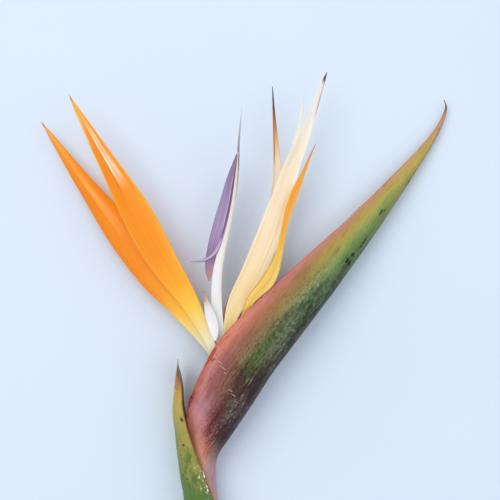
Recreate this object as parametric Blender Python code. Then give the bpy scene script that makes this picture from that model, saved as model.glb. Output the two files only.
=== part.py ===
"""A cut bird of paradise flower, laid on its side.

Millimetres are turned to metres where meshes are made. X and Y lie along the surface it rests on, +Y runs
from the cut end of the stalk to the flower, and +Z is up. The points below are laid out from the middle of the
flower head; the last step brings the origin to the middle of the whole flower's box, on the surface.
"""

import math

import bmesh
import bpy
import numpy as np
from mathutils import Vector

MM = 0.001
GAP = 0.3  # left between pieces that touch

# driving dimensions, in mm
STALK_RADIUS = 6.3
SHEATH_WALL = 1.0
SPATHE_WALL = 1.7
MOUTH_HALF_GAP = 3.6
SEPAL_HALF_WIDTH = 6.3
SEPAL_THICKNESS = 0.9
TONGUE_HALF_WIDTH = 2.2
PETAL_THICKNESS = 0.55
STYLE_RADIUS = 0.42
STAMEN_RADIUS = 0.24

COLOURS = {
    "stalk": (0.32, 0.40, 0.15),
    "sheath": (0.42, 0.46, 0.12),
    "spathe": (0.36, 0.22, 0.16),
    "sepal_orange": (1.0, 0.40, 0.02),
    "sepal_cream": (0.96, 0.76, 0.48),
    "sepal_gold": (0.97, 0.56, 0.10),
    "petal_purple": (0.36, 0.24, 0.50),
    "petal_white": (0.86, 0.85, 0.80),
    "style": (0.60, 0.56, 0.60),
    "stamen": (0.85, 0.80, 0.62),
    "ovary": (0.66, 0.68, 0.44),
    "bud": (0.78, 0.62, 0.30),
}


def clear_scene():
    for obj in list(bpy.data.objects):
        bpy.data.objects.remove(obj)


def material(name):
    """The Principled material of one kind of tissue, made once."""
    found = bpy.data.materials.get(name)
    if found:
        return found
    made = bpy.data.materials.new(name)
    made.use_nodes = True
    shader = made.node_tree.nodes["Principled BSDF"]
    shader.inputs["Base Color"].default_value = (*COLOURS[name], 1.0)
    shader.inputs["Roughness"].default_value = 0.5
    return made


def eased(knots, places):
    """Values between (place, value) knots, turning smoothly at each knot."""
    x, y = np.array(knots, float).T
    slopes = np.gradient(y, x)
    place = np.clip(places, x[0], x[-1])
    i = np.clip(np.searchsorted(x, place, side="right") - 1, 0, len(x) - 2)
    width = x[i + 1] - x[i]
    u = (place - x[i]) / width
    return (
        y[i] * (1 + 2 * u) * (1 - u) ** 2
        + slopes[i] * width * u * (1 - u) ** 2
        + y[i + 1] * u**2 * (3 - 2 * u)
        + slopes[i + 1] * width * u**2 * (u - 1)
    )


def unit(vector):
    return vector / np.linalg.norm(vector)


def knotted(rows, places):
    """A smooth curve through rows of numbers, read at places counted in rows."""
    rows = np.array(rows, float)
    rows = np.vstack([2 * rows[0] - rows[1], rows, 2 * rows[-1] - rows[-2]])
    found = []
    for place in places:
        i = min(int(place), len(rows) - 4)
        u = place - i
        before, start, end, after = rows[i : i + 4]
        found.append(
            0.5
            * (
                2 * start
                + (end - before) * u
                + (2 * before - 5 * start + 4 * end - after) * u**2
                + (3 * start - before - 3 * end + after) * u**3
            )
        )
    return np.array(found)


def through(points, count):
    """A smooth curve through the points, read at evenly spaced places along its length."""
    dense = knotted(points, np.linspace(0, len(points) - 1, 24 * len(points)))
    steps = np.linalg.norm(np.diff(dense, axis=0), axis=1)
    along = np.concatenate([[0], np.cumsum(steps)]) / steps.sum()
    places = np.linspace(0, 1, count)
    return np.stack([np.interp(places, along, dense[:, k]) for k in range(3)], axis=1)


def frames(path, rolls):
    """(point, side, up) at each point of a path; side lies flat where the roll is 0, and up faces +Z."""
    tangents = np.gradient(path, axis=0)
    found = []
    for point, tangent, roll in zip(path, tangents, rolls):
        side = unit(np.cross(tangent, (0, 0, 1)))
        up = unit(np.cross(side, tangent))
        turn = math.radians(roll)
        found.append(
            (
                point,
                side * math.cos(turn) + up * math.sin(turn),
                up * math.cos(turn) - side * math.sin(turn),
            )
        )
    return found


def loft(name, rings, tissue):
    """One closed solid through rings of points, its two ends capped."""
    mesh = bmesh.new()
    rows = [[mesh.verts.new(Vector(p) * MM) for p in ring] for ring in rings]
    for low, high in zip(rows, rows[1:]):
        for i in range(len(low)):
            j = (i + 1) % len(low)
            mesh.faces.new((low[i], low[j], high[j], high[i]))
    mesh.faces.new(rows[0][::-1])
    mesh.faces.new(rows[-1])
    bmesh.ops.recalc_face_normals(mesh, faces=mesh.faces)
    data = bpy.data.meshes.new(name)
    mesh.to_mesh(data)
    mesh.free()
    data.shade_smooth()
    data.set_sharp_from_angle(angle=math.radians(50))
    data.materials.append(material(tissue))
    obj = bpy.data.objects.new(name, data)
    bpy.context.scene.collection.objects.link(obj)
    return obj


def join(obj, other, operation):
    """Unites obj with other, or cuts other from it, and removes other."""
    step = obj.modifiers.new("join", "BOOLEAN")
    step.operation = operation
    step.object = other
    bpy.context.view_layer.update()
    graph = bpy.context.evaluated_depsgraph_get()
    result = bpy.data.meshes.new_from_object(obj.evaluated_get(graph))
    obj.modifiers.clear()
    obj.data = result
    bpy.data.objects.remove(other)
    return obj


def blade(
    name, tissue, spine, width, rise, roll=((0, 0), (1, 0)), thickness=SEPAL_THICKNESS,
    sections=16, across=7,
):
    """A leaf-like solid along a spine, from its half widths, the rise of its margins above its midrib as a
    share of the half width, and its roll about the spine in degrees."""
    places = np.linspace(0, 1, sections)
    widths, rises = eased(width, places), eased(rise, places)
    stands = frames(through(spine, sections), eased(roll, places))
    spots = np.linspace(-1, 1, across)
    rings = []
    for (point, side, up), half, lift in zip(stands, widths, rises):
        middle = [point + side * half * s + up * lift * half * s * s for s in spots]
        thick = min(thickness, half) / 2
        upper = [m + up * thick * math.sqrt(1 - s * s) for m, s in zip(middle, spots)]
        lower = [m - up * thick * math.sqrt(1 - s * s) for m, s in zip(middle, spots)]
        rings.append(upper + lower[-2:0:-1])
    return loft(name, rings, tissue)


def tube(name, tissue, spine, radius, sections=14, around=12):
    """A round solid along a spine."""
    places = np.linspace(0, 1, sections)
    stands = frames(through(spine, sections), np.zeros(sections))
    turns = [2 * math.pi * k / around for k in range(around)]
    rings = [
        [point + side * r * math.cos(a) + up * r * math.sin(a) for a in turns]
        for (point, side, up), r in zip(stands, eased(radius, places))
    ]
    return loft(name, rings, tissue)


# stalk and the two bracts

STALK_TOP = (-18.2, -114, 7.5)  # where the spathe's neck grows out of the stalk


def stalk():
    end_height = STALK_RADIUS + 0.25
    spine = [
        (-9.5, -200, end_height), (-11.6, -178, 6.9), (-14.7, -150, 7.4), (-16.6, -132, 7.5),
        (STALK_TOP[0], STALK_TOP[1] - GAP, STALK_TOP[2]),
    ]
    radius = [(0, 1.04), (0.08, 1.0), (0.5, 0.98), (1, 0.975)]
    return tube(
        "stalk", "stalk", spine, [(t, r * STALK_RADIUS) for t, r in radius], around=20
    )


# Down the sheath from its foot: centre x, y; half width; half height; half of the angle that it wraps.
SHEATH_STATIONS = [
    (-14.6, -151, 7.1, 7.3, 176), (-15.8, -140, 7.6, 7.5, 176), (-17.5, -122, 7.6, 7.5, 172),
    (-19.15, -100, 7.6, 7.6, 134), (-20.1, -92, 7.9, 7.8, 115), (-20.7, -84, 8.4, 8.2, 97),
    (-22.6, -75, 7.5, 8.2, 85), (-24.2, -64.4, 7.1, 8.0, 73), (-23.3, -54.6, 7.2, 7.8, 57),
    (-22.7, -49, 7.1, 7.7, 38), (-22.1, -43.8, 7.0, 7.6, 4),
]


def sheath():
    """The bract that wraps the stalk; it opens to the right and leaves the stalk as a free point."""
    around = 15
    rings = []
    places = np.linspace(0, len(SHEATH_STATIONS) - 1, 26)
    for place, (x, y, wide, high, span) in zip(places, knotted(SHEATH_STATIONS, places)):
        centre = np.array((x, y, SHEATH_REST + high))
        outer, inner = [], []
        for s in np.linspace(-1, 1, around):
            angle = math.radians(180 + s * min(span, 176))
            ray = np.array((math.cos(angle), 0, math.sin(angle)))
            wall = SHEATH_WALL * min(1, 0.5 + 0.3 * place) * (0.3 + 0.7 * math.sqrt(1 - s * s))
            outer.append(centre + ray * (wide, 0, high))
            inner.append(centre + ray * (wide - wall, 0, high - wall))
        rings.append(outer + inner[::-1])
    return loft("sheath_bract", rings, "sheath")


SHEATH_REST = 0.02  # its underside lies on the surface

# From foot to tip: slit edge x, y; keel edge x, y; height of the middle; half thickness.
SPATHE_STATIONS = [
    (-24.35, -114.56, -12.05, -113.44, 7.5, 6.15), (-25.3, -100, -13.0, -100, 7.5, 6.2),
    (-25.9, -89, -13.7, -90.5, 7.7, 6.2), (-24.9, -75.5, -12.9, -82.8, 8.2, 7.2),
    (-25.1, -63.2, -8.0, -75.0, 9.2, 9.0), (-19.6, -49.0, 0.4, -62.6, 9.9, 9.8),
    (-11.1, -34.3, 9.3, -48.9, 10.0, 10.0), (3.6, -19.7, 21.6, -32.6, 9.6, 9.4),
    (20.3, -4.5, 34.9, -15.0, 8.3, 8.0), (41.2, 14.3, 51.0, 7.4, 5.9, 5.4),
    (62.1, 34.7, 66.9, 31.2, 3.5, 2.7), (73.6, 47.3, 76.0, 46.2, 2.3, 1.25),
    (78.9, 56.8, 79.8, 56.2, 2.0, 0.5), (78.7, 60.9, 78.95, 60.9, 2.0, 0.15),
]
MOUTH = (4.3, 7.8)  # the open part of the slit, where the florets come out, counted in stations
HOLLOW = (3.5, 9.4)
FULLEST = 0.42  # where the flanks are widest, as a share of the way from keel to slit


def flank(n, lip):
    """Half thickness of the folded bract at a share n of the way from keel to slit."""
    if n <= FULLEST:
        return math.sqrt(1 - ((FULLEST - n) / FULLEST) ** 2)
    fall = 0.5 + 0.5 * math.cos(math.pi * (n - FULLEST) / (1 - FULLEST))
    return lip + (1 - lip) * fall


def mouth_opening(place):
    """0 where the slit is shut, 1 at the middle of the mouth."""
    middle, reach = (MOUTH[0] + MOUTH[1]) / 2, (MOUTH[1] - MOUTH[0]) / 2
    return max(0.0, 1 - ((place - middle) / reach) ** 2) ** 0.5


def spathe():
    """The folded, boat-shaped bract: a shell with a round solid neck, open along its mouth."""
    shares = [0, 0.025, 0.09, 0.19, 0.32, 0.46, 0.60, 0.73, 0.85, 0.94, 1]
    places = np.linspace(0, len(SPATHE_STATIONS) - 1, 36)
    rings, hollow = [], []
    for place, row in zip(places, knotted(SPATHE_STATIONS, places)):
        slit, keel = np.array((*row[:2], row[4])), np.array((*row[2:4], row[4]))
        across, thick = slit - keel, row[5]
        depth = np.linalg.norm(across)
        opening = mouth_opening(place)
        lip = 0.10 + 0.38 * opening
        round_neck = min(1.0, max(0.0, (3.6 - place) / 1.4))

        def half(n):
            circle = math.sqrt(max(0.0, 1 - (2 * n - 1) ** 2))
            folded = flank(n, lip)
            return thick * (folded + (max(circle, 0.02) - folded) * round_neck)

        rings.append(both_flanks([(keel + across * n, half(n)) for n in shares]))
        if HOLLOW[0] <= place <= HOLLOW[1]:
            floor = SPATHE_WALL / depth
            top = 1 - 1.1 * floor + opening * 0.3
            inside = []
            for n in shares:
                reach = floor + (top - floor) * n
                open_half = max(0.35, half(min(1.0, reach)) - SPATHE_WALL)
                open_half = max(open_half, opening * MOUTH_HALF_GAP)
                inside.append((keel + across * reach, open_half * min(1.0, 6 * n)))
            hollow.append(both_flanks(inside))
    shell = loft("spathe", rings, "spathe")
    return join(shell, loft("spathe_hollow", hollow, "spathe"), "DIFFERENCE")


def both_flanks(rows):
    """A ring from the keel up one flank and down the other, from (middle point, half thickness) rows."""
    up = np.array((0, 0, 1))
    near = [middle + up * half for middle, half in rows]
    far = [middle - up * half for middle, half in rows]
    return near + far[:0:-1]


# the fresh floret


def wide(shares, most=SEPAL_HALF_WIDTH):
    """Half widths in mm from shares of the widest one."""
    return [(t, share * most) for t, share in shares]


def fresh_sepals():
    blade(
        "sepal_upper", "sepal_orange",
        [(-11.0, -48.0, 12.2), (-14.6, -39.6, 12.4), (-23.2, -22, 13.8), (-34.8, -4, 15.4),
         (-45.3, 14.8, 16.4), (-56, 33.6, 16.0), (-62.8, 45.2, 15.0), (-71.9, 61.5, 13.0)],
        wide([(0, 0.2), (0.08, 0.25), (0.15, 0.37), (0.24, 0.55), (0.33, 0.77), (0.42, 0.92), (0.51, 1.0),
              (0.59, 0.93), (0.68, 0.74), (0.77, 0.53), (0.87, 0.34), (0.94, 0.2), (1, 0.02)]),
        rise=[(0, 0.3), (0.2, 0.25), (0.5, 0.22), (0.8, 0.5), (1, 0.5)],
        roll=[(0, 0), (0.3, -6), (0.7, -10), (1, 0)],
        sections=20,
    )
    blade(
        "sepal_lower", "sepal_orange",
        [(-11.2, -48.0, 10.0), (-16.4, -39.2, 9.9), (-28.4, -22.1, 9.6), (-37.4, -11.8, 9.2),
         (-47.2, 0.5, 8.8), (-57, 13.8, 8.4), (-68.6, 29.4, 7.4), (-77.2, 41.8, 6.4), (-84.1, 51.6, 5.6)],
        wide([(0, 0.2), (0.08, 0.25), (0.15, 0.42), (0.25, 0.72), (0.36, 0.95), (0.48, 1.0), (0.6, 0.9),
              (0.74, 0.58), (0.87, 0.31), (0.95, 0.14), (1, 0.02)]),
        rise=[(0, 0.3), (0.2, 0.1), (0.5, -0.12), (0.8, -0.2), (1, 0)],
        roll=[(0, 0), (0.4, 6), (1, 4)],
        sections=20,
    )
    blade(
        "sepal_under", "sepal_orange",
        [(-11.2, -48.0, 7.9), (-16.2, -39.2, 7.5), (-27.0, -23, 5.6), (-37.0, -10.6, 3.8),
         (-48.0, 2.6, 2.4), (-58.6, 16, 1.3), (-69.5, 30.6, 0.7)],
        wide([(0, 0.2), (0.08, 0.25), (0.2, 0.5), (0.35, 0.76), (0.55, 0.82), (0.75, 0.56), (0.92, 0.22),
              (1, 0.02)]),
        rise=[(0, 0.2), (0.3, 0.1), (0.6, 0.08), (1, 0.1)],
        sections=16,
    )


# The tongue's channel, from the ovary to its tip, and half its width along that line.
TONGUE_SPINE = [
    (-8.3, -46.6, 10.0), (-11.0, -38, 10.2), (-12.8, -29, 10.6), (-13.4, -19, 11.2), (-12.9, -9, 11.8),
    (-10.9, 1.5, 12.4), (-8.3, 12, 13.0), (-6.4, 22, 13.5), (-5.3, 31, 13.9), (-4.8, 39, 14.2),
]
TONGUE_WIDTH = [
    (0, 0.55), (0.1, 0.86), (0.25, 1.0), (0.4, 0.86), (0.55, 0.67), (0.7, 0.46), (0.85, 0.28), (1, 0.14),
]
CHANNEL_HALF_HEIGHT = 1.3


def raised(points, height):
    """The points moved up by height."""
    return [(x, y, z + height) for x, y, z in points]


def tongue():
    """Two petals held together as an arrow: each is half of the channel and a wing with a free barb."""
    claws = wide(TONGUE_WIDTH, TONGUE_HALF_WIDTH)
    near_claw = blade(
        "tongue_petal_near", "petal_purple", raised(TONGUE_SPINE, CHANNEL_HALF_HEIGHT), claws,
        rise=[(0, -0.05), (1, -0.05)], thickness=PETAL_THICKNESS, across=5,
    )
    near_wing = blade(
        "near_wing", "petal_purple",
        [(-4.9, 38.2, 15.5), (-6.2, 30, 15.2), (-7.5, 20.5, 14.8), (-9.2, 12, 14.4), (-11.4, 4, 14.0),
         (-14.3, -1.6, 14.0), (-18.6, -4.2, 14.6), (-23.5, -4.7, 15.6)],
        [(0, 0.2), (0.2, 0.55), (0.4, 0.85), (0.6, 1.0), (0.75, 0.8), (0.88, 0.55), (1, 0.12)],
        rise=[(0, -0.1), (1, -0.3)], thickness=PETAL_THICKNESS, across=5, sections=14,
    )
    join(near_claw, near_wing, "UNION")
    far_claw = blade(
        "tongue_petal_far", "petal_purple", raised(TONGUE_SPINE, -CHANNEL_HALF_HEIGHT), claws,
        rise=[(0, 0.05), (1, 0.05)], thickness=PETAL_THICKNESS, across=5,
    )
    far_wing = blade(
        "far_wing", "petal_purple",
        [(-5.2, 38.2, 12.8), (-7.4, 29, 12.5), (-9.6, 19.2, 12.0), (-12.2, 9.4, 11.5), (-14.6, 0.5, 11.0),
         (-16.2, -6, 10.7), (-16.3, -12.2, 10.5)],
        [(0, 0.25), (0.18, 1.65), (0.4, 2.5), (0.58, 2.75), (0.75, 2.45), (0.88, 1.75), (0.96, 1.1),
         (1, 0.35)],
        rise=[(0, 0), (0.5, 0.12), (1, 0.2)], thickness=PETAL_THICKNESS, across=5, sections=14,
    )
    join(far_claw, far_wing, "UNION")


def inside_channel(right, height, reach):
    """A line along the tongue's channel: moved right and up, and ending at a share of its length."""
    points = [(x + right, y, z + height) for x, y, z in TONGUE_SPINE]
    return [tuple(p) for p in through(points, 40)[: round(40 * reach)]][::3]


def style_and_stamens():
    style = inside_channel(0.75, 0, 0.86) + [(-4.6, 40.5, 14.2), (-4.1, 47, 14.5), (-3.2, 56.5, 14.9)]
    tube(
        "style", "style", style,
        [(0, STYLE_RADIUS), (0.75, STYLE_RADIUS), (0.85, 0.5), (0.93, 0.36), (1, 0.12)],
        sections=22, around=8,
    )
    offsets = [(-0.1, 0.5), (-0.1, -0.5), (-0.92, 0.45), (-0.92, -0.45), (-1.65, 0)]
    reaches = [0.78, 0.76, 0.65, 0.62, 0.45]
    for number, ((right, height), reach) in enumerate(zip(offsets, reaches), 1):
        tube(
            f"stamen_{number}", "stamen", inside_channel(right, height, reach),
            [(0, STAMEN_RADIUS), (1, 0.8 * STAMEN_RADIUS)], sections=14, around=6,
        )


def nectary_petal():
    """The small third petal, a pointed white scale beside the foot of the tongue."""
    blade(
        "nectary_petal", "petal_white",
        [(-13.8, -36.0, 14.6), (-14.1, -32.8, 14.4), (-14.9, -29, 14.4), (-16.1, -24.8, 14.8),
         (-17.2, -20.8, 15.2), (-18.3, -16.4, 15.6)],
        [(0, 0.5), (0.12, 1.4), (0.3, 2.0), (0.48, 2.1), (0.62, 1.7), (0.76, 1.1), (0.88, 0.6), (1, 0.15)],
        rise=[(0, 0.1), (0.6, 0.2), (1, 0.5)], thickness=PETAL_THICKNESS, sections=12,
    )


def ovaries():
    """Each floret stands on an ovary whose stalk reaches down into the foot of the spathe."""
    tube(
        "ovary", "ovary",
        [(-10.3, -50.2, 10.0), (-12.2, -55, 10.0), (-14.6, -62, 9.8), (-17.4, -69.5, 9.2)],
        [(0, 2.5), (0.12, 2.9), (0.5, 2.7), (0.72, 1.5), (1, 1.2)], sections=12, around=14,
    )
    tube(
        "old_ovary", "ovary",
        [(-2.6, -42.2, 9.9), (-3.8, -48.5, 10.0), (-6.6, -56, 9.9), (-13.6, -68, 9.2)],
        [(0, 2.3), (0.12, 2.7), (0.42, 2.5), (0.62, 1.4), (1, 1.1)], sections=14, around=14,
    )


# the older floret and the buds


def old_sepals():
    broad = blade(
        "old_sepal_broad", "sepal_cream",
        [(-3.9, -41.2, 11.8), (-8.6, -33.4, 11.6), (-7.6, -27, 11.6), (-4.7, -19.6, 11.8), (0.6, -10, 12.3),
         (6.9, 4.5, 12.8), (12.2, 20, 13.4), (16.8, 34, 14.5), (18.9, 39, 14.8), (21.4, 44.5, 15.0),
         (23.4, 50, 14.9), (26.0, 58, 14.7), (28.2, 64.5, 14.6), (30.6, 70.6, 14.5)],
        [(0, 1.1), (0.075, 1.4), (0.13, 2.5), (0.2, 3.8), (0.29, 4.6), (0.42, 4.8), (0.5, 4.5), (0.57, 3.9),
         (0.68, 3.2), (0.725, 2.7), (0.775, 1.95), (0.825, 1.6), (0.895, 1.3), (0.955, 0.85), (1, 0.12)],
        rise=[(0, 0.3), (0.2, 0.1), (0.5, 0.1), (0.75, 0.3), (1, 0.3)],
        roll=[(0, 0), (0.2, -6), (0.42, -6), (0.8, -4), (1, 0)],
        sections=26,
    )
    # where the tip of the broad sepal has torn, a thin strand stands free of it
    strand = blade(
        "torn_strand", "sepal_cream",
        [(15.2, 33.5, 14.9), (17.1, 39, 15.2), (18.9, 45, 15.5), (20.1, 51, 15.8), (20.8, 56.5, 16.2),
         (21.2, 61.3, 16.6)],
        [(0, 1.0), (0.3, 1.15), (0.5, 0.85), (0.75, 0.5), (1, 0.12)],
        rise=[(0, 0.1), (1, 0.3)], thickness=PETAL_THICKNESS, across=5, sections=10,
    )
    join(broad, strand, "UNION")
    blade(
        "old_sepal_forward", "sepal_gold",
        [(-2.0, -41.0, 9.8), (-3.0, -31, 10.0), (0.3, -20.2, 13.1), (7.1, -12, 13.8), (11, -3, 14.1),
         (13.3, 8, 14.6), (15.5, 16.5, 14.9), (18.3, 24, 14.7), (21.3, 31, 13.8), (23.7, 36.9, 13.0),
         (26.2, 42.3, 12.4)],
        [(0, 1.0), (0.111, 1.4), (0.239, 1.9), (0.31, 2.6), (0.356, 3.0), (0.41, 2.6), (0.464, 1.75),
         (0.52, 1.35), (0.589, 1.2), (0.687, 1.5), (0.776, 1.5), (0.862, 0.8), (0.933, 0.42), (1, 0.1)],
        rise=[(0, 0.2), (0.3, 0.05), (0.6, 0.2), (1, 0.3)],
        roll=[(0, 0), (0.12, 0), (0.24, -18), (0.42, -22), (0.6, -10), (0.8, 0), (1, 0)],
        sections=22,
    )
    blade(
        "old_sepal_back", "sepal_cream",
        [(-4.0, -41.2, 8.2), (-9.3, -31.6, 8.0), (-7.4, -22.5, 7.8), (-3.4, -14, 7.8), (0.6, -6, 7.9),
         (4.6, 3, 8.2), (8.6, 15, 8.8), (10.9, 27, 9.2), (10.7, 37, 9.2), (10.1, 47, 9.2), (9.5, 56, 9.2),
         (9, 65.6, 9.2)],
        [(0, 1.0), (0.098, 1.9), (0.181, 2.4), (0.265, 2.5), (0.345, 2.3), (0.433, 2.1), (0.546, 1.9),
         (0.655, 1.75), (0.745, 1.35), (0.834, 0.85), (0.914, 0.5), (1, 0.12)],
        rise=[(0, 0.2), (0.5, 0.3), (1, 0.5)],
        sections=22,
    )


def buds():
    """Two florets that haven't come out yet, folded tight inside the spathe."""
    tube(
        "bud_1", "bud", [(1.6, -49, 9.8), (8.6, -38.6, 9.8), (17.2, -27.4, 9.4), (24, -18.5, 8.7)],
        [(0, 0.9), (0.25, 2.1), (0.6, 2.0), (1, 0.25)], sections=12, around=10,
    )
    tube(
        "bud_2", "bud", [(-9.6, -70.2, 9.3), (-4.8, -62.4, 9.7), (-0.6, -54.5, 9.9)],
        [(0, 0.8), (0.35, 1.7), (0.7, 1.5), (1, 0.25)], sections=10, around=10,
    )


def centre_on_surface():
    """Moves every piece so that the origin is under the middle of the flower, on the surface."""
    bpy.context.view_layer.update()
    points = np.array([v.co for obj in bpy.data.objects for v in obj.data.vertices])
    low, high = points.min(axis=0), points.max(axis=0)
    middle = Vector((*(low + high)[:2] / 2, low[2]))
    for obj in bpy.data.objects:
        obj.location = -middle


def main():
    clear_scene()
    stalk()
    sheath()
    spathe()
    fresh_sepals()
    tongue()
    style_and_stamens()
    nectary_petal()
    ovaries()
    old_sepals()
    buds()
    centre_on_surface()


main()
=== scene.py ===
import math

import bmesh
import bpy
import numpy as np
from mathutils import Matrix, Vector, noise


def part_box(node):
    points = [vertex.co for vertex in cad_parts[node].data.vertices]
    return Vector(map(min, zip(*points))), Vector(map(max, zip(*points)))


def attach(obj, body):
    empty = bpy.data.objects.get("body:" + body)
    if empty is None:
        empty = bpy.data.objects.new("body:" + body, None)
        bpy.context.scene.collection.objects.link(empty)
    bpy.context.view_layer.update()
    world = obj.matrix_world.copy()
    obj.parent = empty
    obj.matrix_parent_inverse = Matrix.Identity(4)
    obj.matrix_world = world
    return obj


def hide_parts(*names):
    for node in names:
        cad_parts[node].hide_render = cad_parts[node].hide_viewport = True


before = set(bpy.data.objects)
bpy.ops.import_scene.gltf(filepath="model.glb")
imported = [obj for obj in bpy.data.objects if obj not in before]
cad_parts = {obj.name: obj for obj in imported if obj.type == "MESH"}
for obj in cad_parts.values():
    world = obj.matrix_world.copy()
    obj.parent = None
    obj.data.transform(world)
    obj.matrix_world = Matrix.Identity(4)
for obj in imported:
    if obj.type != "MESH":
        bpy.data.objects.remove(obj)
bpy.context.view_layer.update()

mm = 0.001

# The shapes below are laid out in millimetres from the middle of the flower head, as the solids were.
# Two tips whose places are known in that layout say where it lies in the frame.
lowerTipX, beakTipY = -84.1, 60.9
layoutOrigin = np.array((
    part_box("sepal_lower")[0][0] - lowerTipX * mm,
    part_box("spathe")[1][1] - beakTipY * mm,
    0.0,
))


# Curves and profiles

def smoothRows(rows, places):
    # Catmull-Rom through rows of numbers; place 0 is the first row, 1 the second
    rows = np.array(rows, float)
    rows = np.vstack([2 * rows[0] - rows[1], rows, 2 * rows[-1] - rows[-2]])
    places = np.asarray(places, float)
    first = np.clip(places.astype(int), 0, len(rows) - 4)
    u = (places - first)[:, None]
    before, start, end, after = (rows[first + k] for k in range(4))
    return 0.5 * (
        2 * start + (end - before) * u
        + (2 * before - 5 * start + 4 * end - after) * u**2
        + (3 * start - before - 3 * end + after) * u**3
    )


def evenPlaces(points, count):
    # places in rows that step evenly along the curve's length, and that length
    dense = np.linspace(0, len(points) - 1, 60 * len(points))
    steps = np.linalg.norm(np.diff(smoothRows(points, dense), axis=0), axis=1)
    run = np.concatenate([[0], np.cumsum(steps)])
    return np.interp(np.linspace(0, run[-1], count), run, dense), run[-1]


def profile(knots, places):
    # smooth values between (place, value) knots
    x, y = np.array(knots, float).T
    slope = np.gradient(y, x)
    place = np.clip(places, x[0], x[-1])
    i = np.clip(np.searchsorted(x, place, side="right") - 1, 0, len(x) - 2)
    width = x[i + 1] - x[i]
    u = (place - x[i]) / width
    return (
        y[i] * (1 + 2 * u) * (1 - u) ** 2 + slope[i] * width * u * (1 - u) ** 2
        + y[i + 1] * u**2 * (3 - 2 * u) + slope[i + 1] * width * u**2 * (u - 1)
    )


def easeStep(low, high, value):
    u = np.clip((np.asarray(value, float) - low) / (high - low), 0, 1)
    return u * u * (3 - 2 * u)


def lumps(points, size, seed=0.0):
    # soft noise from -1 to 1 whose lumps are about size mm across
    seedStep = 17.3
    flat = np.asarray(points, float).reshape(-1, 3) / size + seed * seedStep
    return np.array([noise.noise(Vector(p)) for p in flat]).reshape(np.shape(points)[:-1])


def asPoints(x, y, z=0.0):
    # arrays that fit one another, as points
    return np.stack(np.broadcast_arrays(x, y, z), axis=-1)


def standUp(path, rolls):
    # sideways and upward directions at each point of a path, turned by a roll in degrees
    tangent = np.gradient(path, axis=0)
    side = np.cross(tangent, (0, 0, 1))
    side /= np.linalg.norm(side, axis=1)[:, None]
    up = np.cross(side, tangent)
    up /= np.linalg.norm(up, axis=1)[:, None]
    turn = np.radians(rolls)[:, None]
    return side * np.cos(turn) + up * np.sin(turn), up * np.cos(turn) - side * np.sin(turn)


# Meshes

def addObject(name, data):
    made = bpy.data.objects.new(name, data)
    bpy.context.scene.collection.objects.link(made)
    return made


def weave(name, *skins):
    # one piece of closed skins; each is rings of points (rows, around, 3) and the marks its material reads
    points, faces, marks, first = [], [], {}, 0
    for rings, values in skins:
        rows, around = rings.shape[:2]
        number = first + np.arange(rows * around).reshape(rows, around)
        beside = np.roll(number, -1, axis=1)
        faces.append(np.stack([number[:-1], beside[:-1], beside[1:], number[1:]], axis=-1).reshape(-1, 4))
        j = np.arange(around // 2 - 1)
        for row in (number[0], number[-1]):
            faces.append(np.stack([row[j], row[around - 1 - j], row[around - 2 - j], row[j + 1]], axis=-1))
        points.append(rings.reshape(-1, 3))
        for mark, value in values.items():
            marks.setdefault(mark, []).append(np.broadcast_to(value, (rows, around)).ravel())
        first += rows * around
    mesh = bpy.data.meshes.new(name)
    mesh.from_pydata(
        (np.concatenate(points) * mm + layoutOrigin).tolist(), [], np.concatenate(faces).tolist())
    for mark, values in marks.items():
        layer = mesh.attributes.new(mark, "FLOAT", "POINT")
        layer.data.foreach_set("value", np.concatenate(values).astype(np.float32))
    work = bmesh.new()
    work.from_mesh(mesh)
    bmesh.ops.recalc_face_normals(work, faces=work.faces)
    work.to_mesh(mesh)
    work.free()
    mesh.shade_smooth()
    mesh.set_sharp_from_angle(angle=math.radians(60))
    return addObject(name, mesh)


leafBasics = {
    # half width, camber, fold and roll are knots (place from foot to tip, value)
    "roll": [(0, 0), (1, 0)],
    "fold": [(0, 2), (1, 2)],  # 2 is a round channel, near 1 a sharp fold
    "dents": 0.12,
    "veinHeight": 0.03,
    "thinMargin": 0.18,  # how thick the margin is against the middle
    "marginsApart": 40,  # keeps the two margins' waves from matching
}


def sheetMarks(grid, **values):
    # the marks over a sheet's upper face, then back along its lower face
    marks = {}
    for mark, value in values.items():
        value = np.broadcast_to(value, grid)
        marks[mark] = np.concatenate([value, value[:, ::-1]], axis=1)
    marks["underside"] = np.repeat([[0.0, 1.0]], grid[1], axis=1)
    return marks


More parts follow.
